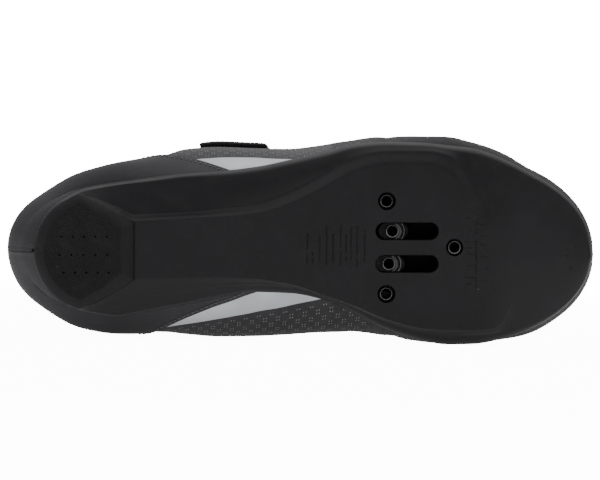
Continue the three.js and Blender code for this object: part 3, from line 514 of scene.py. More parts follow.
# The film's top edge on each side, and how far it stands up from the microfibre.
FILM_TOP = {
    1: ((30, 50, 63, 83, 104, 115, 127, 145, 165), (29, 30.5, 31.4, 30.8, 28.2, 25.2, 20.9, 13.7, 3.0)),
    -1: ((30, 50, 63, 77, 93, 108, 122, 138, 155), (28, 29, 29.4, 30.0, 31.0, 29.2, 22.8, 13.0, 3.0)),
}
FILM_STEP = 0.35
MICROFIBRE = (0.031, 0.029, 0.031)
TEXTILE = (0.028, 0.0265, 0.0285)
FILM = (0.6, 0.61, 0.635)
LINING = (0.008, 0.008, 0.0085)

# Creases: soft troughs across the flex of the forefoot, at the ankle and over the heel. Each runs between
# two points of a side view, is as wide and deep as given in millimetres, and has a faint ridge beside it.
CREASES = (
    (1, (168, 46), (182, 14), 4.5, 0.55), (1, (178, 52), (196, 22), 4.0, 0.4),
    (1, (152, 50), (160, 26), 5.0, 0.4), (1, (205, 44), (222, 30), 5.0, 0.3),
    (-1, (166, 50), (178, 16), 4.5, 0.55), (-1, (178, 56), (192, 24), 4.0, 0.4),
    (-1, (150, 56), (158, 30), 5.0, 0.4), (-1, (206, 46), (224, 32), 5.0, 0.3),
    (1, (46, 52), (70, 40), 6.0, 0.6), (-1, (46, 52), (70, 40), 6.0, 0.6),
    (1, (62, 56), (88, 62), 5.0, 0.45), (-1, (62, 56), (88, 62), 5.0, 0.45),
    (1, (14, 66), (34, 58), 5.0, 0.4), (-1, (14, 66), (34, 58), 5.0, 0.4),
)


def crease_depth(points, side):
    """How far the creases push each point in, in millimetres."""
    total = np.zeros(points.shape[:-1])
    flat = points[..., (0, 2)]
    for crease_side, start, end, width, depth in CREASES:
        start, end = np.array(start, float), np.array(end, float)
        run = end - start
        share = np.clip(((flat - start) @ run) / (run @ run), -0.2, 1.2)
        away = flat - start - share[..., None] * run
        offset = (away @ np.array((run[1], -run[0]))) / np.linalg.norm(run)
        beyond = np.linalg.norm(away, axis=-1)
        fade = np.exp(-np.maximum(0, np.abs(share - 0.5) - 0.25) ** 2 / 0.06)
        trough = np.exp(-((beyond / width) ** 2) * 2.2)
        ridge = 0.3 * np.exp(-(((offset - width * 1.15) / width) ** 2) * 2.2) * (np.abs(share - 0.5) < 0.7)
        total += np.where(side == crease_side, depth * fade * (trough - ridge), 0)
    return total


def stations(count, low=0.0, high=1.0):
    """Shares of the length from low to high, close together where they reach the heel and the toe."""
    step = np.linspace(0, 1, count)
    spread = (1 - np.cos(math.pi * step)) / 2
    return low + (high - low) * (0.35 * step + 0.65 * spread)


def collar_padding(points):
    """The share of its full padding that the collar has at each point."""
    return ease(0, 1, 1 - (collar_height(points[..., 0]) - points[..., 2]) / PADDING_DEPTH)


def cut_step(at, side):
    """How far round its section the wall goes before the collar or the throat cuts it."""
    k = np.linspace(CORNER_STEP, TOP_STEP, 900)
    points = section(at, side, k)
    x, y, z = points.T
    ridge = read(LAST, "ridge", at) * end_rounding(at) + read(LAST, "drift", at)
    outside = (z > collar_height(x)) | ((np.abs(y - ridge) < throat_half(x)) & (z > THROAT_FLOOR))
    if not outside.any():
        return TOP_STEP, False
    return k[int(np.argmax(outside))], True


def run_along(path):
    """The distance along a path at each of its points."""
    return np.concatenate(([0], np.cumsum(np.linalg.norm(np.diff(path, axis=0), axis=1))))


def measured_rows(at, side, low, high, count, rim):
    """Steps along a section at even spacing, closer near its rim, and each one's distance from the rim."""
    k = np.linspace(low, high, 400)
    points = section(at, side, k)
    run = run_along(points)
    close = min(4.5, run[-1] / 3) if rim else 0.0
    fine = 14 if rim else 0
    where = np.linspace(0, run[-1] - close, count - fine)
    if rim:
        tail = run[-1] - close * (1 - np.sin(np.linspace(0, math.pi / 2, fine + 1)[1:]))
        where = np.concatenate((where, tail))
    return np.interp(where, run, k), run[-1] - where


FIRST_STEP = 0.62
base, rim_distance, steps_up, sheet = [], [], [], []
upper_at = stations(UPPER_STATIONS)
for side in (1, -1):
    for at in upper_at:
        high, has_rim = cut_step(at, side)
        k, left = measured_rows(at, side, FIRST_STEP, high, UPPER_ROWS, has_rim)
        points = section(at, side, k)
        base.append(points)
        sheet.append(np.stack((points[:, 0], run_along(points), np.full(UPPER_ROWS, float(side))), axis=-1))
        rim_distance.append(left if has_rim else np.full(UPPER_ROWS, 1e3))
        steps_up.append(k)
base = np.array(base).reshape(-1, 3)
sheet = np.array(sheet).reshape(-1, 3)
rim_distance = np.array(rim_distance).ravel()
steps_up = np.array(steps_up).ravel()
half_count = UPPER_STATIONS * UPPER_ROWS
upper_faces = np.concatenate((
    grid_faces(UPPER_STATIONS, UPPER_ROWS, flip=True),
    grid_faces(UPPER_STATIONS, UPPER_ROWS, offset=half_count),
))
upper_normals = vertex_normals(base, upper_faces)
padding = collar_padding(base)
thickness = WALL + COLLAR_PADDING * padding
rim_radius = thickness / 2
tuck = rim_radius * (1 - np.sqrt(1 - (1 - np.minimum(rim_distance, rim_radius) / rim_radius) ** 2))
puff = 0.9 * padding * np.sin(np.pi * np.clip(rim_distance / PADDING_DEPTH, 0, 1))
creased = crease_depth(base, sheet[:, 2]) * ease(2, 9, rim_distance) * ease(3.2, 4.5, steps_up)
film = np.where(
    sheet[:, 2] > 0, smooth_curve(*FILM_TOP[1], base[:, 0]), smooth_curve(*FILM_TOP[-1], base[:, 0])
) - base[:, 2]
outer = base + upper_normals * (puff - tuck - creased)[:, None]
inner = base - upper_normals * (thickness - tuck + creased)[:, None]
rows_low = np.arange(UPPER_STATIONS) * UPPER_ROWS
margin_faces = []
for start, order in ((0, 1), (half_count, -1)):
    a, b = rows_low[:-1] + start, rows_low[1:] + start
    margin_faces.append(np.stack((a, a + len(base), b + len(base), b), axis=-1)[:, ::order])
all_faces = np.concatenate((upper_faces, upper_faces[:, ::-1] + len(base), *margin_faces))
points = np.concatenate((outer, inner))
merged, kept, back = weld(points, all_faces)
inside = np.zeros(len(merged))
inside[back[len(base):]] = 1
inside[back[: len(base)]] = 0
face_inside = [int(sum(inside[c] for c in face) > len(face) / 2) for face in kept]
to_rim, to_film, unrolled = np.zeros(len(merged)), np.zeros(len(merged)), np.zeros((len(merged), 3))
to_rim[back] = np.tile(rim_distance, 2)
to_film[back] = np.tile(film, 2)
unrolled[back] = np.tile(sheet, (2, 1))

m = material_tree("upper_microfibre")
place, flat = m.attribute("shoe", "Vector"), m.attribute("sheet", "Vector")
rim, over_film = m.attribute("rim"), m.attribute("film")
x, y, z = m.parts(place)
pebbles = m.group(grain, vector=place, size=0.55)
knit = m.group(weave, vector=flat, pitch=0.9)
dirt = m.group(wear, vector=place, share=0.05)
dots = m.group(marks, along=x, across=m.times(over_film, -1.0), pitch=6.4, rows=2.7, apart=0.62, size=0.3)
in_film = m.times(m.ramp(over_film, -0.12, 0.12), m.ramp(x, 48.0, 52.0))
forefoot = m.ramp(m.math("ADD", x, m.times(m.noise(place, 8.0), 2.0)), 146.0, 150.0)
low_side = m.ramp(z, 52.0, 44.0)
textile = m.times(forefoot, low_side)
marked = m.times(m.ramp(over_film, -0.8, -1.4), m.ramp(over_film, -19.0, -16.0))
marked = m.times(marked, m.times(m.ramp(x, 56.0, 64.0), m.ramp(x, 172.0, 160.0)))
dotted = m.times(dots["Mask"], marked)
seam = m.times(m.near(y, 0.9, 0.5, 0.15), m.ramp(x, 3.0, -2.0))
plain = m.mix(m.ramp(pebbles["Tone"], 0.35, 0.65), MICROFIBRE, tint(MICROFIBRE, 1.35))
woven = m.mix(m.ramp(knit["Height"], 0.1, 0.8), tint(TEXTILE, 0.55), tint(TEXTILE, 1.5))
colour = m.mix(textile, plain, woven)
colour = m.mix(dotted, colour, (0.24, 0.24, 0.245))
film_tone = m.mix(m.ramp(over_film, 0.0, 5.0), FILM, tint(FILM, 1.25))
colour = m.mix(in_film, colour, m.mix(m.ramp(m.noise(place, 20.0), 0.3, 0.7), film_tone, FILM))
colour = m.mix(m.ramp(rim, 5.5, 4.8), colour, LINING)
colour = weathered(m, colour, dirt, (0.06, (0.2, 0.19, 0.18)), (0.3, (0.3, 0.3, 0.3)))
rough = m.times(in_film, -0.22, m.times(pebbles["Height"], 0.12, 0.55))
height = m.times(pebbles["Height"], 0.05)
height = m.times(m.times(knit["Height"], textile), 0.16, height)
height = m.times(height, m.times(in_film, -0.85, 1.0))
height = m.times(in_film, FILM_STEP, height)
height = m.times(dotted, -0.25, height)
height = m.times(seam, -0.6, height)
upper_material = m.finish(
    colour, rough, height, Sheen_Weight=0.12, Sheen_Roughness=0.4, Specular_IOR_Level=0.35
)

BRUSHED = {"Sheen_Weight": 0.3, "Sheen_Roughness": 0.6, "Specular_IOR_Level": 0.2}
m = material_tree("upper_lining")
flat, place = m.attribute("sheet", "Vector"), m.attribute("shoe", "Vector")
knit = m.group(weave, vector=flat, pitch=1.3)
colour = m.mix(knit["Gap"], LINING, tint(LINING, 0.3))
rough = m.ramp(knit["Height"], 0.0, 1.0, 0.95, 0.8)
lining_material = m.finish(colour, rough, m.times(knit["Height"], 0.3), **BRUSHED)
upper = make_object(
    "upper_dressed", merged, kept, [upper_material, lining_material], face_inside, rim=to_rim, film=to_film,
    sheet=unrolled,
)
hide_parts("upper")

# Outsole: a stiff shell moulded in glass-filled nylon. A flat plateau runs down its middle between soft
# bevels, a lip holds the upper, and shallow moulded lines give the scale that a cleat is set by.
OUTSOLE_STATIONS = 420
LIP = 4.5
NYLON = (0.0068, 0.0058, 0.0070)
BODY_STATIONS = (0, 0.04, 0.09, 0.15, 0.18, 0.21, 0.28, 0.34, 0.4, 0.46, 0.52, 0.575, 0.63, 0.7, 0.74)
ROUND_EDGES = {
    "plateau_lateral": (
        BODY_STATIONS + (0.765, 0.79, 0.81, 0.85, 1),
        (0.295, 0.288, 0.272, 0.197, 0.155, 0.16, 0.171, 0.179, 0.193, 0.248, 0.333, 0.412, 0.447, 0.446,
         0.4, 0.33, 0.225, 0.14, 0.11, 0.1),
    ),
    "cove_lateral": (
        BODY_STATIONS + (0.765, 0.79, 0.81, 0.85, 0.9, 1),
        (0.308, 0.3, 0.287, 0.224, 0.186, 0.189, 0.198, 0.215, 0.24, 0.307, 0.401, 0.488, 0.515, 0.515,
         0.495, 0.43, 0.32, 0.24, 0.19, 0.2, 0.25),
    ),
    "plateau_medial": (
        BODY_STATIONS + (0.79, 0.824, 0.845, 0.857, 0.87, 0.9, 1),
        (0.295, 0.295, 0.282, 0.2, 0.14, 0.139, 0.136, 0.135, 0.141, 0.167, 0.224, 0.28, 0.345, 0.392,
         0.396, 0.394, 0.381, 0.33, 0.24, 0.17, 0.13, 0.12),
    ),
    "cove_medial": (
        BODY_STATIONS + (0.79, 0.824, 0.845, 0.862, 0.88, 0.9, 1),
        (0.306, 0.305, 0.293, 0.262, 0.226, 0.216, 0.194, 0.175, 0.167, 0.187, 0.232, 0.289, 0.356, 0.408,
         0.417, 0.412, 0.402, 0.37, 0.29, 0.22, 0.21, 0.25),
    ),
}

# The moulded scale: each line's middle, then its length along the shoe and across it.
SCALE_LINES = [(217.0, 0.8, 0.6, 34.6)]
SCALE_LINES += [(214.2, y, 4.6, 0.6) for y in (-16.3, -10.7, -4.9, -1.8, 1.2, 6.8, 12.7, 15.8)]
SCALE_LINES += [(221.0, y, 4.4, 0.6) for y in (-13.2, -7.8, -3.3, 2.6, 8.1, 14.2)]
SCALE_LINES += [
    (133.9, -1.5, 0.6, 15.0), (136.4, 3.0, 0.5, 6.0), (139.8, -2.0, 0.6, 13.0), (143.2, -3.0, 0.6, 19.0),
    (146.4, -2.0, 0.6, 14.0), (150.0, -3.2, 0.6, 20.0), (152.6, -2.0, 0.6, 13.0), (155.0, -3.0, 0.6, 18.0),
    (158.0, -2.5, 0.6, 20.0), (161.7, -3.0, 0.6, 16.0), (268.2, -1.7, 6.6, 0.5),
]
MOULD_DOTS = ((265.1, 2.9), (266.6, 8.8), (265.6, 14.6))

line, g, given = node_group(
    "moulded_line", {"X": "value", "Y": "value", "Middle": "vector", "Reach": "vector"}, {"Mask": "value"}
)
middle_x, middle_y, _ = g.parts(given["Middle"])
reach_x, reach_y, _ = g.parts(given["Reach"])
off_x = g.math("SUBTRACT", g.math("ABSOLUTE", g.math("SUBTRACT", given["X"], middle_x)), reach_x)
off_y = g.math("SUBTRACT", g.math("ABSOLUTE", g.math("SUBTRACT", given["Y"], middle_y)), reach_y)
put(g, mask=g.ramp(g.math("MAXIMUM", off_x, off_y), 0.2, -0.2))

m = material_tree("moulded_nylon")
place = m.attribute("shoe", "Vector")
x, y, z = m.parts(place)
pebbles = m.group(grain, vector=place, size=0.35)
dirt = m.group(wear, vector=place, share=0.08)
lines = 0.0
for at_x, at_y, long, wide in SCALE_LINES:
    mask = m.group(line, x=x, y=y, middle=(at_x, at_y, 0), reach=(long / 2, wide / 2, 0))["Mask"]
    lines = m.math("MAXIMUM", lines, mask)
for at_x, at_y in MOULD_DOTS:
    off = m.add("ShaderNodeVectorMath", {0: m.vector(x, y), 1: (at_x, at_y, 0)}, out=1, operation="DISTANCE")
    dot = m.times(m.ramp(off, 0.9, 0.7), m.ramp(off, 0.3, 0.5))
    lines = m.math("MAXIMUM", lines, m.times(dot, 0.8))
lines = m.times(lines, m.ramp(m.noise(place, 3.0), 0.25, 0.5))
colour = toned(m, pebbles, NYLON, 1.25)
# Painted shade: the moulded lines and dot rings are painted near black, as shade in their shallow grooves.
colour = m.mix(lines, colour, (0.0008, 0.0007, 0.0008))
colour = weathered(m, colour, dirt, (0.015, (0.3, 0.29, 0.27)), (0.35, (0.3, 0.3, 0.29)))
rough = m.times(pebbles["Height"], 0.14, m.times(dirt["Dust"], 0.1, 0.42))
height = m.times(lines, -0.5, m.times(pebbles["Height"], 0.035))
height = m.times(m.noise(place, 14.0), 0.12, height)
nylon = m.finish(colour, rough, height, Specular_IOR_Level=0.3)


def sole_profile(at, side):
    """Half a section of the sole, from the middle of its underside to the middle of its bed."""
    edge, flare = (read(SOLE, side_name(name, side), at) for name in ("edge", "flare"))
    plateau, cove = (
        smooth_curve(*ROUND_EDGES[side_name(name, side)], at) * BALL for name in ("plateau", "cove")
    )
    level, rise = read(SOLE, "level", at), read(SOLE, "rise", at)
    edge_z = level + read(SOLE, "edge_up", at)
    bed = read(LAST, "bed", at)
    lip_z = bed + LIP
    body = ease(0.1, 0.2, at)
    dip = (0.9 if side < 0 else 0.0) * body * ease(2.2, 9.0, edge - cove)
    hollow = 0.0 if side > 0 else body * ease(0.3, 0.36, at) * (1 - ease(0.49, 0.56, at))
    straight = 1 - 0.75 * hollow
    y, z = [], []
    for t in np.linspace(0, 1, 26):
        y.append(plateau * t * (2 - t) * 0.98 + plateau * 0.02 * t)
        z.append(level)
    for t in np.linspace(0, 1, 11)[1:]:
        soft = 0.5 * t + 0.5 * t * t * (3 - 2 * t)
        y.append(plateau + (cove - plateau) * t)
        z.append(level + (rise + dip) * soft)
    for t in np.linspace(0, 1, 25)[1:]:
        climb = straight * t + (1 - straight) * t**2.3
        y.append(cove + (edge - cove) * t)
        z.append(level + rise + dip * (1 - t) ** 2 + (edge_z - level - rise) * climb)
    plain = ease(0.765, 0.83, at) if side < 0 else ease(0.8, 0.89, at)
    for i in range(len(y)):
        domed = level + (edge_z - level) * (y[i] / edge) ** 2.4
        z[i] = z[i] + (domed - z[i]) * plain
    for t in np.linspace(0, 1, 12)[1:]:
        y.append(edge + flare * np.sin(t * math.pi / 2) ** 0.8)
        z.append(edge_z + (lip_z - edge_z) * t**1.3)
    for t in np.linspace(0, 1, 7)[1:]:
        angle = math.pi * t
        y.append(edge + flare - LIP_THICKNESS / 2 * (1 - math.cos(angle)))
        z.append(lip_z + LIP_THICKNESS / 2 * math.sin(angle))
    inner = edge + flare - LIP_THICKNESS
    for t in np.linspace(0, 1, 5)[1:]:
        y.append(inner - 2.6 * t * t)
        z.append(lip_z + (bed - GAP - lip_z) * t)
    for t in np.linspace(0, 1, 9)[1:]:
        y.append((inner - 2.6) * (1 - t))
        z.append(bed - GAP + 0 * at)
    y, z = (np.stack([v + 0 * at for v in part], axis=-1) for part in (y, z))
    y = y * end_rounding(at)[:, None]
    share = np.clip((z - edge_z[:, None]) / (lip_z - edge_z)[:, None], 0, 1) ** 0.7
    toe = read(SOLE, "flare_lateral", 1.0) * np.maximum(0, 1 - (1 - at) * LENGTH / TOE_REACH) ** 2
    x = along(at)[:, None] + share * toe[:, None]
    return np.stack((x, read(LAST, "drift", at)[:, None] + side * y, z), axis=-1)


outsole_at = stations(OUTSOLE_STATIONS, 0.0003, 0.9997)
ring_medial, ring_lateral = (sole_profile(outsole_at, side) for side in (1, -1))
rings = np.concatenate((ring_medial, ring_lateral[:, -2:0:-1]), axis=1)


def tube(rings):
    """A closed body from rings of points, with a flat cap at each end."""
    rings = np.asarray(rings)
    count, size = rings.shape[:2]
    faces = grid_faces(count, size, wrap=True, flip=True).tolist()
    faces.append(list(range(size))[::-1])
    faces.append(list(range(size * (count - 1), size * count)))
    return rings.reshape(-1, 3), faces


def circle(x, y, radius, height, angle, shift=0.0):
    return np.stack(
        (x + shift + radius * np.cos(angle), y + radius * np.sin(angle), np.full(len(angle), height)), axis=-1
    )


def cylinder(x, y, radii, heights, count=40, stretch=0.0):
    """A turned body round (x, y), closed at both ends. stretch pulls it out along the shoe into a slot."""
    angle = np.linspace(0, 2 * math.pi, count, endpoint=False)
    shift = np.where(np.cos(angle) > 0, stretch / 2, -stretch / 2)
    return tube([circle(x, y, radius, height, angle, shift) for radius, height in zip(radii, heights)])


def joined(bodies):
    """Several bodies as one list of points and one of faces."""
    points, faces, start = [], [], 0
    for body_points, body_faces in bodies:
        points.append(body_points)
        faces += [[c + start for c in face] for face in body_faces]
        start += len(body_points)
    return np.concatenate(points), faces


def cut(name, body, tool, materials, sharp=None, **attributes):
    """A body less a tool, both closed, as a finished object."""
    target = make_object(name, *body, materials, **attributes)
    cutter = make_object(name + "_cutter", *tool, [])
    modifier = target.modifiers.new("cut", "BOOLEAN")
    modifier.operation, modifier.object, modifier.solver = "DIFFERENCE", cutter, "MANIFOLD"
    bpy.context.view_layer.update()
    result = bpy.data.meshes.new_from_object(target.evaluated_get(bpy.context.evaluated_depsgraph_get()))
    target.modifiers.clear()
    target.data = result
    bpy.data.objects.remove(cutter)
    result.shade_smooth()
    if sharp:
        result.set_sharp_from_angle(angle=math.radians(sharp))
    in_row = np.empty(len(result.vertices) * 3, np.float32)
    result.vertices.foreach_get("co", in_row)
    points = (in_row.reshape(-1, 3) - np.array(origin)) * 1000 @ np.array(turn)
    layer = result.attributes.get("shoe") or result.attributes.new("shoe", "FLOAT_VECTOR", "POINT")
    layer.data.foreach_set("vector", points.astype(np.float32).ravel())
    return target


CLEAT_AXIS = -2.1
SLOT_SPREAD = 16.0
REAR_INSERTS, FRONT_INSERT, INSERT_SPREAD = 172.6, 206.2, 45.5
SLOT_CENTRE, SLOT_LENGTH, SLOT_WIDTH = 182.7, 31.5, 8.9
INSERTS = {
    "cleat_insert_front": (FRONT_INSERT, CLEAT_AXIS),
    "cleat_insert_rear_medial": (REAR_INSERTS, CLEAT_AXIS + INSERT_SPREAD / 2),
    "cleat_insert_rear_lateral": (REAR_INSERTS, CLEAT_AXIS - INSERT_SPREAD / 2),
}
SLOTS = {"slot_nut_medial": CLEAT_AXIS + SLOT_SPREAD / 2, "slot_nut_lateral": CLEAT_AXIS - SLOT_SPREAD / 2}
hole_cutters = [
    cylinder(x, y, (5.3, 4.5, 4.35, 4.3, 4.3), (-0.9, 0.0, 0.35, 0.9, 14.0)) for x, y in INSERTS.values()
]
slot_radii = [SLOT_WIDTH / 2 + more for more in (0.8, 0.0, -0.2, -0.2)]
hole_cutters += [
    cylinder(SLOT_CENTRE, y, slot_radii, (-0.9, 0.0, 0.4, 14.0), stretch=SLOT_LENGTH - SLOT_WIDTH)
    for y in SLOTS.values()
]
outsole = cut("outsole_dressed", tube(rings), joined(hole_cutters), [nylon], sharp=32)
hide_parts("outsole")

# Heel pad: a block of moulded rubber set in a shallow recess of the sole. It has a soft bevel all round, a
# fine diagonal hatch on the flat that the heel stands on, and three rows of small dimples.
PAD = {"thickness": 4.4, "bevel": 5.0, "bevel_height": 2.6, "length": 49.5, "front": 28.0, "shoulder": 22.5}
PAD_DIMPLES = ((-7.5, 13.9, 5.5), (1.4, 13.0, 5.8), (10.0, 15.0, 5.5))
PAD_HATCH = 1.0
# The second tone is a painted highlight: a lighter rubber for the bevel and the walls.
RUBBER, BEVEL_HIGHLIGHT_RUBBER = (0.0044, 0.0037, 0.0039), (0.0095, 0.0082, 0.0095)

m = material_tree("pad_rubber")
place, on_flat = m.attribute("shoe", "Vector"), m.attribute("flat")
x, y, z = m.parts(place)
pebbles = m.group(grain, vector=place, size=0.3)
dirt = m.group(wear, vector=place, share=0.1)
slanted = m.math("DIVIDE", m.times(y, 0.8, x), PAD_HATCH * 1.28)
ridges = m.math("SINE", m.times(slanted, 2 * math.pi))
crossed = m.math("DIVIDE", m.times(y, -0.8, x), PAD_HATCH * 1.28)
broken = m.times(m.math("SINE", m.times(crossed, 2 * math.pi)), 0.35)
hatch = m.times(m.math("ADD", ridges, broken), on_flat)
colour = toned(m, pebbles, RUBBER, 1.3)
# Painted highlight: the bevel and walls, off the flat, are painted lighter than the flat.
colour = m.mix(m.ramp(on_flat, 0.6, 0.1), colour, BEVEL_HIGHLIGHT_RUBBER)
# Painted shade: the hatch's troughs are painted darker, as shade between its ridges.
colour = m.mix(m.ramp(hatch, -0.2, -1.0, 0.0, 0.45), colour, (0.002, 0.002, 0.002))
# Painted shade: towards the front, the pad's walls high in the sole's recess are painted near black, as shade
# in the gap round the pad.
groove_painted_shade = m.times(m.ramp(z, 2.9, 3.6), m.ramp(x, 24.0, 30.0))
colour = m.mix(groove_painted_shade, colour, (0.0015, 0.0013, 0.0013))
colour = weathered(m, colour, dirt, (0.03, (0.25, 0.23, 0.2)), (0.3, (0.3, 0.29, 0.26)))
rough = m.times(pebbles["Height"], 0.1, 0.58)
height = m.times(hatch, 0.09, m.times(pebbles["Height"], 0.04))
pad_rubber = m.finish(colour, rough, height, Specular_IOR_Level=0.25)


def pad_outline(count=288):
    """The pad's outline from above, evenly spaced, with its four front corners a little rounded."""
    share = (PAD["shoulder"] / LENGTH) * (1 - np.cos(np.linspace(0, math.pi / 2, 60)))
    sides = []
    for side in (-1, 1):
        edge = read(SOLE, side_name("edge", side), share) * end_rounding(share)
        sides.append(np.stack((along(share), side * edge), axis=-1))
    length, half = PAD["length"], PAD["front"] / 2
    front = np.array(((length - 4.5, -half - 3), (length, -half), (length, half), (length - 4.5, half + 3)))
    loop = np.concatenate((sides[0], front, sides[1][:0:-1]))
    loop = np.concatenate((loop, loop[:1]))
    run = run_along(loop)
    at = np.linspace(0, run[-1], count, endpoint=False)
    even = np.stack((np.interp(at, run, loop[:, 0]), np.interp(at, run, loop[:, 1])), axis=-1)
    for _ in range(3):
        even = (np.roll(even, 1, axis=0) + 2 * even + np.roll(even, -1, axis=0)) / 4
    return even


outline = pad_outline()
centre = np.array((PAD["length"] * 0.5, 0.0))
inward = centre - outline
inward /= np.linalg.norm(inward, axis=1, keepdims=True)
to_front = ease(0.7, 0.98, outline[:, :1] / PAD["length"])
bevel = PAD["bevel"] + 3.0 * to_front
bevel_height = PAD["bevel_height"] + 1.3 * to_front[:, 0]
inner = outline + inward * bevel
rows = [(outline, PAD["thickness"] * t + (bevel_height + 0.2) * (1 - t)) for t in (1.0, 0.5, 0.0)]
for t in np.linspace(0.04, 1, 14):
    rows.append((outline + inward * bevel * t, bevel_height * (1 - t) ** 1.5 * (1 - 0.25 * t)))
rows += [(inner + (centre - inner) * t, 0.0) for t in np.linspace(0, 1, 20)[1:-1]]
pad_rings = np.array([np.column_stack((ring, np.full(len(ring), height))) for ring, height in rows])
on_flat = np.repeat([0.0] * 15 + [0.6] * 2 + [1.0] * (len(rows) - 17), len(outline))
dimples = []
for y, start, pitch in PAD_DIMPLES:
    for i in range(5):
        dimples.append(cylinder(start + pitch * i, y, (0.95, 0.6, 0.5, 0.1), (-0.4, 0.0, 0.7, 1.0), count=20))
heel_pad = cut("heel_pad_dressed", tube(pad_rings), joined(dimples), [pad_rubber], sharp=50, flat=on_flat)
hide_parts("heel_pad")


def surface(at, side, k):
    """Points of the last and its outward normals, at any station, side and step."""
    at, k = np.broadcast_arrays(np.asarray(at, float), np.asarray(k, float))
    low, high = np.clip(at - 4e-4, 0, 1), np.clip(at + 4e-4, 0, 1)
    along = section(high, side, k) - section(low, side, k)
    higher, lower = (section(at, side, np.clip(k + step, 0, TOP_STEP)) for step in (0.02, -0.02))
    normal = np.cross(higher - lower, along) * side
    return section(at, side, k), normal / np.maximum(np.linalg.norm(normal, axis=-1, keepdims=True), 1e-12)


def grid_border(rows, columns):
    """The points round the edge of a grid, in order."""
    index = np.arange(rows * columns).reshape(rows, columns)
    return np.concatenate((index[0, :-1], index[:-1, -1], index[-1, :0:-1], index[:0:-1, 0]))


EDGE_LAYERS = 5


def shell(name, base, normals, low, high, border, material, radius):
    """A sheet over the last between two offsets, rounded at its edge. border is each point's way to it."""
    rows_count, columns = base.shape[:2]
    depth = radius * (1 - np.sqrt(1 - (1 - np.clip(border / radius, 0, 1)) ** 2))
    middle = (low + high) / 2
    half = (high - low) / 2
    squeeze = 1 - depth / np.maximum(half, 1e-6)
    top = middle + half * np.maximum(squeeze, 0.0)
    bottom = middle - half * np.maximum(squeeze, 0.0)
    outer = base + normals * top[..., None]
    inner = base + normals * bottom[..., None]
    points = np.concatenate((outer.reshape(-1, 3), inner.reshape(-1, 3)))
    count = rows_count * columns
    faces = np.concatenate(
        (grid_faces(rows_count, columns), grid_faces(rows_count, columns, offset=count, flip=True))
    )
    loop = grid_border(rows_count, columns)
    above = np.concatenate((np.ones(count), np.zeros(count)))
    layer, levels = loop, np.linspace(1, 0, EDGE_LAYERS + 1)[1:-1]
    flat_outer, flat_inner = outer.reshape(-1, 3)[loop], inner.reshape(-1, 3)[loop]
    for level in levels:
        start = len(points)
        points = np.concatenate((points, flat_outer * level + flat_inner * (1 - level)))
        above = np.concatenate((above, np.full(len(loop), level)))
        following = np.arange(start, start + len(loop))
        ring = np.stack((layer, np.roll(layer, -1), np.roll(following, -1), following), axis=-1)
        faces, layer = np.concatenate((faces, ring)), following
    ring = np.stack((layer, np.roll(layer, -1), np.roll(loop, -1) + count, loop + count), axis=-1)
    faces = np.concatenate((faces, ring))
    border = np.concatenate((np.tile(border.ravel(), 2), np.tile(border.ravel()[loop], len(levels))))
    spread = np.cross(outer[1:, :-1] - outer[:-1, :-1], outer[:-1, 1:] - outer[:-1, :-1])
    if (spread * normals[:-1, :-1]).sum() < 0:
        faces = faces[:, ::-1]
    merged, kept, back = weld(points, faces)
    edge, height = np.zeros(len(merged)), np.zeros(len(merged))
    edge[back], height[back] = border, above
    return make_object(name, merged, kept, [material], border=edge, above=height)


# Heel counter: a thin moulded cup round the back of the upper. Its top edge is sewn down, its foot stands
# in the sole's lip, and a seam closes it at the back beside a small reflective strip.
COUNTER = {
    1: (
        (-0.09, 0.02, 0.08, 0.13, 0.17, 0.215, 0.265, 0.315, 0.36, 0.39, 0.43),
        (0.62, 0.6, 0.54, 0.455, 0.388, 0.328, 0.284, 0.254, 0.23, 0.21, 0.18),
    ),
    -1: (
        (-0.09, 0.02, 0.08, 0.13, 0.17, 0.21, 0.25, 0.29, 0.327, 0.36),
        (0.62, 0.6, 0.54, 0.46, 0.405, 0.362, 0.328, 0.295, 0.255, 0.21),
    ),
}
COUNTER_THICKNESS = 1.2
COUNTER_SKIN = (0.024, 0.0218, 0.0247)

m = material_tree("counter_shell")
place, edge = m.attribute("shoe", "Vector"), m.attribute("border")
x, y, z = m.parts(place)
pebbles = m.group(grain, vector=place, size=0.45)
dirt = m.group(wear, vector=place, share=0.06)
at_back = m.ramp(x, 4.0, 0.0)
from_seam = m.math("ABSOLUTE", m.math("SUBTRACT", y, 0.9))
seam = m.times(m.ramp(from_seam, 0.4, 0.15), at_back)
lips = m.times(m.ramp(from_seam, 2.4, 0.6), at_back)
strip = m.times(m.near(y, -8.0, 5.4, 5.2), m.ramp(z, 34.6, 35.0))
strip = m.times(strip, m.times(m.ramp(z, 52.4, 52.0), at_back))
colour = toned(m, pebbles, COUNTER_SKIN, 1.3)
colour = m.mix(seam, colour, (0.002, 0.002, 0.002))
colour = m.mix(strip, colour, (0.3, 0.31, 0.32))
colour = weathered(m, colour, dirt, (0.03, (0.25, 0.24, 0.22)), (0.3, (0.3, 0.3, 0.3)))
rough = m.times(strip, -0.15, m.times(pebbles["Height"], 0.12, 0.47))
height = m.times(seam, -0.6, m.times(pebbles["Height"], 0.05))
height = m.times(lips, 0.25, height)
height = m.times(strip, 0.2, height)
height = m.times(m.near(edge, 2.2, 0.9, 0.2), -0.25, height)
counter_material = m.finish(colour, rough, height, Specular_IOR_Level=0.4)


def counter_height(x, side):
    return smooth_curve(*COUNTER[side], x / LENGTH) * INSTEP


def step_at_height(at, side, height, low=CORNER_STEP, high=TOP_STEP):
    """The step of a section where it reaches a height."""
    k = np.linspace(low, high, 240)
    z = section(at, side, k)[:, 2]
    return np.interp(height, z, k)


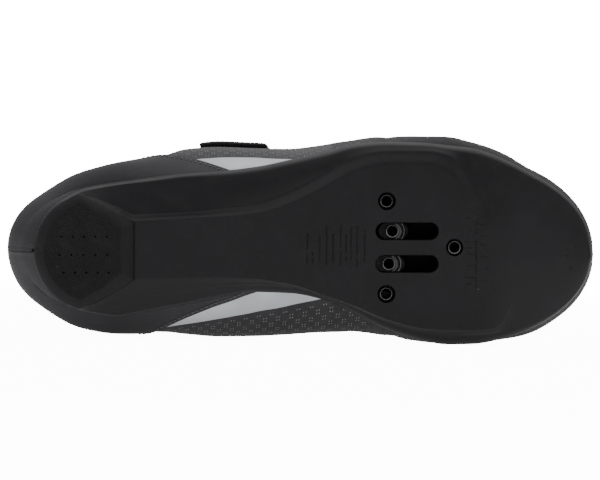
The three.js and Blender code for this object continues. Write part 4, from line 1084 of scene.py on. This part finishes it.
fronts = []
for side in (1, -1):
    at = np.linspace(0.2, 0.45, 500)
    gap = counter_height(at * LENGTH, side) - (read(LAST, "bed", at) + LIP + 0.8)
    fronts.append(at[int(np.argmax(gap < 0))])
share = 1 - np.cos(np.linspace(0, math.pi / 2, 90))
bases, normals, borders = [], [], []
for side, order in ((-1, fronts[1] * share[::-1]), (1, fronts[0] * share[1:])):
    for at in order:
        foot = read(LAST, "bed", at) + LIP - 1.2 - 3.6 * (1 - ease(0.02, 0.14, at))
        bottom = step_at_height(at, side, foot, low=CENTRE_STEP)
        top = bottom
        for _ in range(6):
            x = section(at, side, top)[0]
            top = step_at_height(at, side, float(counter_height(x, side)))
        top = max(top, bottom + 1e-3)
        k = np.linspace(bottom, top, 46)
        point, normal = surface(np.full(46, at), side, k)
        run = run_along(point)
        bases.append(point)
        normals.append(normal)
        borders.append(np.minimum(run[-1] - run, 30.0))
bases, normals, borders = np.array(bases), np.array(normals), np.array(borders)
counter = shell(
    "heel_counter_dressed", bases, normals, GAP, GAP + COUNTER_THICKNESS, borders, counter_material, 0.6
)
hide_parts("heel_counter")


def read_along(values, run, where):
    """Rows of values read at distances along their path."""
    return np.stack([np.interp(where, run, values[:, i]) for i in range(3)], axis=-1)


def stitches(name, path, normals, material, pitch=2.5, radius=0.28, lift=0.08):
    """A row of machine stitches along a path on a surface: short threads, each sunk at both ends."""
    run = run_along(path)
    centres = np.arange(pitch / 2, run[-1] - pitch / 3, pitch)
    middle, normal = read_along(path, run, centres), read_along(normals, run, centres)
    forward = read_along(path, run, centres + 0.3) - read_along(path, run, centres - 0.3)
    forward /= np.maximum(np.linalg.norm(forward, axis=1, keepdims=True), 1e-9)
    sideways = np.cross(normal, forward)
    sideways /= np.maximum(np.linalg.norm(sideways, axis=1, keepdims=True), 1e-9)
    normal = np.cross(forward, sideways)
    angle = np.linspace(0, 2 * math.pi, 7)[:-1]
    points, faces = [], []
    for i in range(len(centres)):
        start = len(points)
        for t, width in ((-1, 0.15), (-0.8, 0.75), (-0.35, 1.0), (0.35, 1.0), (0.8, 0.75), (1, 0.15)):
            drop = lift - radius * (1.1 * abs(t) ** 4)
            for a in angle:
                out, rise = math.cos(a) * radius * width, math.sin(a) * radius * width + drop
                on_path = middle[i] + forward[i] * t * pitch * 0.41
                points.append(on_path + sideways[i] * out + normal[i] * rise)
        faces += grid_faces(6, 6, offset=start, wrap=True).tolist()
        faces += [list(range(start, start + 6)), list(range(start + 35, start + 29, -1))]
    make_object(name, np.array(points), faces, [material])


THREAD_TONE = (0.09, 0.088, 0.092)
m = material_tree("stitch_thread")
place = m.attribute("shoe", "Vector")
twist = m.noise(place, 0.25)
colour = m.mix(twist, THREAD_TONE, tint(THREAD_TONE, 2.2))
thread = m.finish(colour, m.ramp(twist, 0.3, 0.7, 0.75, 0.6), m.times(twist, 0.05), Sheen_Weight=0.2)
outer_skin = bases + normals * (GAP + COUNTER_THICKNESS)


def inset_path(grid, vectors, distance):
    """A path over a grid, a given distance in from the grid's last column."""
    path, lines = [], []
    for row_points, row_vectors in zip(grid, vectors):
        run = run_along(row_points)
        if run[-1] > distance + 1.0:
            at = run[-1] - distance
            path.append(read_along(row_points, run, at))
            lines.append(read_along(row_vectors, run, at))
    return np.array(path), np.array(lines)


stitches("counter_stitches", *inset_path(outer_skin, normals, 2.2), thread)

# Straps: three straps over the throat, sewn in on the medial side and closed on the lateral one. Each is a
# smooth microfibre skin laid on a dense pile of hooks and loops, with a line of stitches round its edge.
STRAP_THICKNESS = 3.0
STRAP_LEAN = 0.3
STRAPS = {
    "instep_strap": (0.365, 33.0, 0.5, 0.72),
    "middle_strap": (0.525, 21.0, 0.55, 0.6),
    "toe_strap": (0.648, 21.0, 0.43, 0.5),
}
STRAP_SKIN = (0.009, 0.0083, 0.0092)
STRAP_STITCH_INSET = 2.4

m = material_tree("strap_microfibre")
place, edge, above = (m.attribute("shoe", "Vector"), m.attribute("border"), m.attribute("above"))
pebbles = m.group(grain, vector=place, size=0.5)
dirt = m.group(wear, vector=place, share=0.05)
fibres = m.add("ShaderNodeTexNoise", {"Vector": place, "Scale": 2.6, "Detail": 4.0, "Roughness": 0.8})
skin = m.ramp(above, 0.62, 0.7)
skin_tone = toned(m, pebbles, STRAP_SKIN, 1.35)
# Painted highlight: within 0.9 mm of its border, the skin's rounded top edge is painted a lighter grey.
rim = m.times(m.ramp(edge, 0.9, 0.2), skin)
skin_tone = m.mix(m.times(rim, 0.6), skin_tone, (0.07, 0.07, 0.072))
pile = m.mix(m.ramp(fibres, 0.35, 0.65), (0.002, 0.002, 0.002), (0.012, 0.012, 0.012))
colour = m.mix(skin, pile, skin_tone)
colour = weathered(m, colour, dirt, (0.05, (0.22, 0.21, 0.2)))
groove = m.near(edge, STRAP_STITCH_INSET, 0.9, 0.2)
rough = m.times(skin, -0.38, m.times(pebbles["Height"], 0.1, 0.9))
height = m.times(m.times(groove, -0.2, m.times(pebbles["Height"], 0.05)), skin)
height = m.times(m.times(fibres, m.math("SUBTRACT", 1.0, skin)), 0.9, height)
strap_skin = m.finish(
    colour, rough, height, Sheen_Weight=0.1, Sheen_Roughness=0.4, Specular_IOR_Level=0.35
)


def half_strip(points, normals, run, start, count, side):
    """One side of a sheet over the ridge, evenly spaced between its edge and the ridge."""
    where = np.linspace(start, run[-1], count)
    both = read_along(points, run, where), read_along(normals, run, where)
    return both if side < 0 else tuple(values[::-1][1:] for values in both)


STRAP_COLUMNS, STRAP_ROWS = 26, 65


def strap_grid(place, width, lateral_end, medial_end):
    """Points of the last under a strap, from its lateral end over the ridge to its medial root."""
    grid = []
    for s in np.linspace(-width / 2, width / 2, STRAP_COLUMNS):
        halves = []
        for side, end in ((-1, lateral_end), (1, medial_end)):
            k = np.linspace(CORNER_STEP, TOP_STEP, 300)
            at = np.full(300, place + s / LENGTH)
            for _ in range(12):
                z = section(at, side, k)[:, 2]
                at = place + (s + STRAP_LEAN * (z - lateral_end * INSTEP)) / LENGTH
            point, vector = surface(at, side, k)
            run = run_along(point)
            start = np.interp(end * INSTEP, point[:, 2], run)
            halves.append(half_strip(point, vector, run, start, STRAP_ROWS, side))
        grid.append([np.concatenate(part) for part in zip(*halves)])
    base, normal = (np.array(part) for part in zip(*grid))
    for _ in range(2):
        normal[:, 1:-1] = (normal[:, :-2] + normal[:, 1:-1] + normal[:, 2:]) / 3
    return base, normal / np.linalg.norm(normal, axis=-1, keepdims=True)


for name, (place, width, lateral_end, medial_end) in STRAPS.items():
    base, normal = strap_grid(place, width, lateral_end, medial_end)
    across = np.linspace(-width / 2, width / 2, base.shape[0])[:, None]
    run = np.cumsum(np.linalg.norm(np.diff(base, axis=1, prepend=base[:, :1]), axis=2), axis=1)
    side_gap = np.broadcast_to(width / 2 - np.abs(across), run.shape)
    border = np.minimum(side_gap, np.minimum(run, run[:, -1:] - run))
    strap = shell(
        name + "_dressed", base[:, ::-1], normal[:, ::-1], GAP, GAP + STRAP_THICKNESS, border[:, ::-1],
        strap_skin, 0.5,
    )
    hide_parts(name)
    top_skin = base + normal * (GAP + STRAP_THICKNESS)
    margin = STRAP_STITCH_INSET / width
    rows_in = int(round(margin * (base.shape[0] - 1)))
    columns_in = [int(np.argmax(run[0] > STRAP_STITCH_INSET)), int(np.argmax(run[0] > run[0, -1] - 1.0))]
    around = [(rows_in, c) for c in range(columns_in[0], columns_in[1])]
    around = around[::-1] + [(r, columns_in[0]) for r in range(rows_in, base.shape[0] - rows_in)]
    around += [(base.shape[0] - 1 - rows_in, c) for c in range(columns_in[0], columns_in[1])]
    picked = tuple(np.array(around).T)
    stitches(name + "_stitches", top_skin[picked], normal[picked], thread)

# Tongue: a padded sheet of spacer mesh under the throat, bound at its edge, sewn in at its front end and
# free along its sides and top. The photograph hides it, so it is finished plainly.
TONGUE_THICKNESS, TONGUE_OVERLAP, TONGUE_TOP, TONGUE_ROUND = 4.5, 9.0, 0.285, 15.0
TONGUE_COLUMNS = 30
TONGUE_MESH = (0.011, 0.0105, 0.0115)

m = material_tree("tongue_mesh")
place, edge = m.attribute("shoe", "Vector"), m.attribute("border")
x, y, z = m.parts(place)
knit = m.group(weave, vector=m.vector(x, m.times(y, 1.15)), pitch=1.7)
binding = m.ramp(edge, 3.2, 3.0)
colour = m.mix(knit["Gap"], TONGUE_MESH, tint(TONGUE_MESH, 0.3))
colour = m.mix(binding, colour, tint(TONGUE_MESH, 1.3))
height = m.times(knit["Height"], m.times(binding, -0.3, 0.4))
height = m.times(m.near(edge, 3.1, 0.7, 0.1), -0.5, height)
tongue_fabric = m.finish(colour, m.ramp(knit["Height"], 0.0, 1.0, 0.95, 0.8), height, **BRUSHED)


def tongue_half(at):
    """The tongue's half-width at a station, with its upper corners rounded."""
    corner = np.maximum(0, 1 - (at - TONGUE_TOP) * LENGTH / TONGUE_ROUND)
    half = smooth_curve(*THROAT, at) * BALL + TONGUE_OVERLAP
    return half * (1 - 0.45 * (1 - np.sqrt(1 - corner**2)))


tongue_at = stations(120, TONGUE_TOP, 0.745 + TONGUE_OVERLAP / LENGTH)
grid = []
for at in tongue_at:
    halves = []
    for side in (-1, 1):
        k = np.linspace(WIDEST_STEP, TOP_STEP, 300)
        point, vector = surface(np.full(300, at), side, k)
        inside = np.abs(point[:, 1] - read(LAST, "ridge", at)) < tongue_half(at)
        run = run_along(point)
        halves.append(half_strip(point, vector, run, run[int(np.argmax(inside))], TONGUE_COLUMNS, side))
    grid.append([np.concatenate(part) for part in zip(*halves)])
base, normal = (np.array(part) for part in zip(*grid))
normal /= np.linalg.norm(normal, axis=-1, keepdims=True)
run = np.cumsum(np.linalg.norm(np.diff(base, axis=1, prepend=base[:, :1]), axis=2), axis=1)
lengthwise = np.cumsum(np.linalg.norm(np.diff(base, axis=0, prepend=base[:1]), axis=2), axis=0)
border = np.minimum(np.minimum(run, run[:, -1:] - run), np.minimum(lengthwise, lengthwise[-1:] - lengthwise))
top = -(WALL + COLLAR_PADDING * collar_padding(base)) - GAP
tongue = shell("tongue_dressed", base, normal, top - TONGUE_THICKNESS, top, border, tongue_fabric, 2.2)
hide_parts("tongue")

# Insole: a loose foam foot bed with a brushed textile top, moulded to a shallow cup where it meets the
# upper.
INSOLE_THICKNESS = 4.0
INSOLE_TOP = (0.02, 0.02, 0.021)

m = material_tree("insole_textile")
place = m.attribute("shoe", "Vector")
knit = m.group(weave, vector=place, pitch=0.8)
dirt = m.group(wear, vector=place, share=0.1)
colour = m.mix(m.ramp(knit["Height"], 0.0, 0.8), tint(INSOLE_TOP, 0.5), INSOLE_TOP)
colour = weathered(m, colour, dirt, (0.1, (0.1, 0.1, 0.1)))
insole_fabric = m.finish(
    colour, m.ramp(knit["Height"], 0.0, 1.0, 0.95, 0.85), m.times(knit["Height"], 0.15), **BRUSHED
)

insole_at = stations(150, 0.02, 0.97)
base = []
for at in insole_at:
    line = []
    for side in (-1, 1):
        half = (feather_half(at, side) - 1.4) * end_rounding(at) - WALL - GAP
        t = np.linspace(0, 1, 24)
        y = read(LAST, "drift", at) + side * half * t
        bed = read(LAST, "bed", at) + WALL + GAP
        z = bed + INSOLE_THICKNESS + 2.2 * ease(0.72, 1.0, t) * ease(0.0, 0.1, at)
        row_points = np.stack((np.full(24, at * LENGTH), y, z), axis=-1)
        line.append(row_points[::-1] if side < 0 else row_points[1:])
    base.append(np.concatenate(line))
base = np.array(base)
below = base.copy()
below[..., 2] = read(LAST, "bed", base[..., 0] / LENGTH) + WALL + GAP
count = base.shape[0] * base.shape[1]
loop = grid_border(*base.shape[:2])
rim = np.stack((loop, np.roll(loop, -1), np.roll(loop, -1) + count, loop + count), axis=-1)
faces = np.concatenate(
    (grid_faces(*base.shape[:2]), grid_faces(*base.shape[:2], offset=count, flip=True), rim[:, ::-1])
)
m = material_tree("insole_foam")
place = m.attribute("shoe", "Vector")
cells = m.add("ShaderNodeTexVoronoi", {"Vector": place, "Scale": 1.4})
colour = m.mix(cells, (0.0016, 0.0014, 0.0013), (0.004, 0.0034, 0.0032))
foam = m.finish(colour, m.ramp(cells, 0.0, 0.8, 0.98, 0.9), m.times(cells, 0.2), Specular_IOR_Level=0.15)
top_faces = (base.shape[0] - 1) * (base.shape[1] - 1)
insole = make_object(
    "insole_dressed", np.concatenate((base.reshape(-1, 3), below.reshape(-1, 3))), faces.tolist(),
    [insole_fabric, foam], [0] * top_faces + [1] * (len(faces) - top_faces), sharp=50,
)
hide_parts("insole")

# Cleat fittings: blackened steel. Three threaded inserts stand in round holes, and two nuts slide in the
# slots. Each nut is a plate with a threaded collar and curved ridges beside it.
BARREL, THREAD, BARREL_DEPTH, FLANGE, FLANGE_FLOOR = 3.2, 2.45, 1.6, 5.8, 5.2
# The second tone is a painted highlight: a light grey steel.
STEEL, PAINTED_HIGHLIGHT_STEEL = (0.022, 0.0212, 0.0212), (0.24, 0.24, 0.245)

m = material_tree("blackened_steel")
place = m.attribute("shoe", "Vector")
x, y, z = m.parts(place)
patchy = m.ramp(m.noise(place, 2.2, detail=4.0), 0.3, 0.7)
stretched = m.vector(m.times(x, 0.4), m.times(y, 6.0), z)
brushed = m.add("ShaderNodeTexNoise", {"Vector": stretched, "Scale": 1.0, "Detail": 2.0})
# Painted highlight: below 2.35 mm, at the collars' rounded mouths and the ridges' crowns, the steel is
# painted a light patchy grey and made a little smoother.
painted_highlight = m.times(m.ramp(z, 2.35, 1.7), m.times(patchy, 0.4, 0.6))
colour = m.mix(patchy, tint(STEEL, 0.6), STEEL)
colour = m.mix(painted_highlight, colour, PAINTED_HIGHLIGHT_STEEL)
rough = m.times(brushed, 0.2, m.times(painted_highlight, -0.1, 0.34))
blackened_steel = m.finish(colour, rough, m.times(brushed, 0.02), Metallic=1.0)


def turned(x, y, profile, count=48):
    """A ring turned round (x, y) from a closed profile of radii and heights."""
    angle = np.linspace(0, 2 * math.pi, count, endpoint=False)
    points = np.array([circle(x, y, radius, height, angle) for radius, height in profile]).reshape(-1, 3)
    index = np.arange(len(points)).reshape(len(profile), count)
    index = np.concatenate((index, index[:1]))
    index = np.concatenate((index, index[:, :1]), axis=1)
    faces = np.stack((index[:-1, :-1], index[1:, :-1], index[1:, 1:], index[:-1, 1:]), axis=-1)
    return points, faces.reshape(-1, 4).tolist()


def threaded_ring(x, y, outer, inner, low, high, flange=None, soft=0.4, turns=5):
    """A collar with a rounded mouth and a threaded bore. flange is a wider part's radius and foot."""
    profile = [(inner, high), (outer, high)]
    if flange:
        radius, foot = flange
        profile = [(inner, high), (radius - 0.2, high), (radius, high - 0.2)]
        profile += [(radius, foot + 0.2), (radius - 0.2, foot), (outer, foot)]
    profile.append((outer, low + soft))
    for t in np.linspace(0, math.pi / 2, 6)[1:]:
        profile.append((outer - soft * (1 - math.cos(t)), low + soft * (1 - math.sin(t))))
    profile.append((inner + 0.3, low))
    profile.append((inner + 0.05, low + 0.3))
    pitch = (high - low - 0.6) / (turns * 2)
    for i in range(turns * 2):
        profile.append((inner + (0.28 if i % 2 else 0.0), low + 0.4 + pitch * (i + 0.5)))
    return turned(x, y, profile)


for name, (x, y) in INSERTS.items():
    ring = threaded_ring(x, y, BARREL, THREAD, BARREL_DEPTH, 6.3, flange=(FLANGE, FLANGE_FLOOR))
    insert = make_object(name + "_dressed", *ring, [blackened_steel], sharp=35)
    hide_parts(name)

NUT_LENGTH, NUT_FLOOR = 15.0, 2.6
NUT_SETBACK = {"slot_nut_medial": 8.2, "slot_nut_lateral": 6.6}
RIDGES = ((4.0, 1.5, 0.5), (5.9, 0.55, 0.75), (6.9, 0.3, 0.25))


def arc_ridge(x, y, radius, wide, tall, floor, spread, count=28):
    """A curved ridge that stands on a nut's plate, round a centre behind it."""
    angle = np.linspace(-spread, spread, count)
    crown = ((-0.5, 0.15), (-0.42, -0.8 * tall), (-0.2, -tall))
    crown += tuple((-across, height) for across, height in crown[::-1])
    rows = [circle(x, y, radius + across * wide, floor + height, angle) for across, height in crown]
    faces = grid_faces(len(rows), count).tolist()
    faces += [[i * count for i in range(6)], [i * count + count - 1 for i in range(5, -1, -1)]]
    faces += [[i, 5 * count + i, 5 * count + i + 1, i + 1] for i in range(count - 1)]
    return np.array(rows).reshape(-1, 3), faces


for name, y in SLOTS.items():
    x = SLOT_CENTRE - NUT_SETBACK[name]
    bore_x = x - 0.6
    half = SLOT_WIDTH / 2 - GAP
    plate_radii = [half - less for less in (0.9, 0.3, 0.0, 0.0, 0.4)]
    plate_heights = (NUT_FLOOR, NUT_FLOOR, 2.9, 6.2, 6.3)
    plate = cylinder(x, y, plate_radii, plate_heights, count=64, stretch=NUT_LENGTH - 2 * half)
    bore = cylinder(bore_x, y, (THREAD + 0.2, THREAD + 0.2), (1.0, 7.0), count=48)
    nut = cut(name + "_dressed", plate, bore, [blackened_steel], sharp=35)
    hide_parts(name)
    raised = [threaded_ring(bore_x, y, BARREL, THREAD, BARREL_DEPTH, 6.2)]
    for reach, wide, tall in RIDGES:
        spread = math.asin(min(1.0, (half - 0.35) / max(reach, half)))
        raised.append(arc_ridge(bore_x, y, reach, wide, tall, NUT_FLOOR, spread=spread))
    make_object(name + "_boss", *joined(raised), [blackened_steel], sharp=35)


# Stage: a pale floor in a white room. The room is lit all round and from above, and is dark in front of the
# sole, so that the black sole keeps its depth and only its bevels and lips shine.
FLOOR_RADIUS = (0.45, 1.3)
BACKDROP = 16.0
ROOM_AROUND, ROOM_FRONT, ROOM_ABOVE = 0.46, 0.018, 0.8
FLOOR_GLOW, FLOOR_WHITE = 0.45, 12.0

world = bpy.data.worlds.new("room")
bpy.context.scene.world = world
world.use_nodes = True
w = Shading(world.node_tree)
world.node_tree.nodes.clear()
_, toward, up = w.parts(w.add("ShaderNodeTexCoord", out=0))
seen = w.add("ShaderNodeBackground", {"Color": (1, 1, 1, 1), "Strength": BACKDROP})
strength = w.ramp(toward, -0.97, -0.45, ROOM_FRONT, ROOM_AROUND)
strength = w.math("ADD", strength, w.ramp(up, 0.2, 0.75, 0.0, ROOM_ABOVE))
lit = w.add("ShaderNodeBackground", {"Color": (0.97, 0.98, 1, 1), "Strength": strength})
mixed = w.add("ShaderNodeMixShader", {0: w.add("ShaderNodeLightPath"), 1: lit, 2: seen})
world.node_tree.links.new(mixed, world.node_tree.nodes.new("ShaderNodeOutputWorld").inputs["Surface"])

m = material_tree("floor_paper")
at_floor = m.add("ShaderNodeTexCoord", out=3)
from_middle = m.add("ShaderNodeVectorMath", {0: at_floor}, out=1, operation="LENGTH")
fibre = m.add("ShaderNodeTexNoise", {"Vector": at_floor, "Scale": 900.0})
shader = m.tree.nodes["Principled BSDF"]
glow = m.times(m.add("ShaderNodeLightPath"), FLOOR_WHITE - FLOOR_GLOW, FLOOR_GLOW)
m.tree.links.new(m.ramp(from_middle, *FLOOR_RADIUS, 1.0, 0.0), shader.inputs["Alpha"])
m.tree.links.new(m.mix(fibre, (0.88, 0.88, 0.88), (0.93, 0.93, 0.93)), shader.inputs["Base Color"])
m.tree.links.new(glow, shader.inputs["Emission Strength"])
shader.inputs["Emission Color"].default_value = (1, 1, 1, 1)
shader.inputs["Roughness"].default_value = 0.9
floor_mesh = bpy.data.meshes.new("floor")
angle = np.linspace(0, 2 * math.pi, 64, endpoint=False)
floor_mesh.from_pydata([(1.4 * math.cos(a), 1.4 * math.sin(a), 0.0) for a in angle], [], [tuple(range(64))])
floor_mesh.materials.append(m.material)
floor = bpy.data.objects.new("floor", floor_mesh)
bpy.context.collection.objects.link(floor)

# One large soft light hangs over the shoe, a little behind it, so that it grazes the sole.
data = bpy.data.lights.new("overhead", "AREA")
data.size, data.energy = 1.5, 2.4
light = bpy.data.objects.new("overhead", data)
light.location = (0.1, 0.2, 1.2)
light.rotation_euler = (Vector((0, 0, 0.05)) - light.location).to_track_quat("-Z", "Y").to_euler()
bpy.context.collection.objects.link(light)
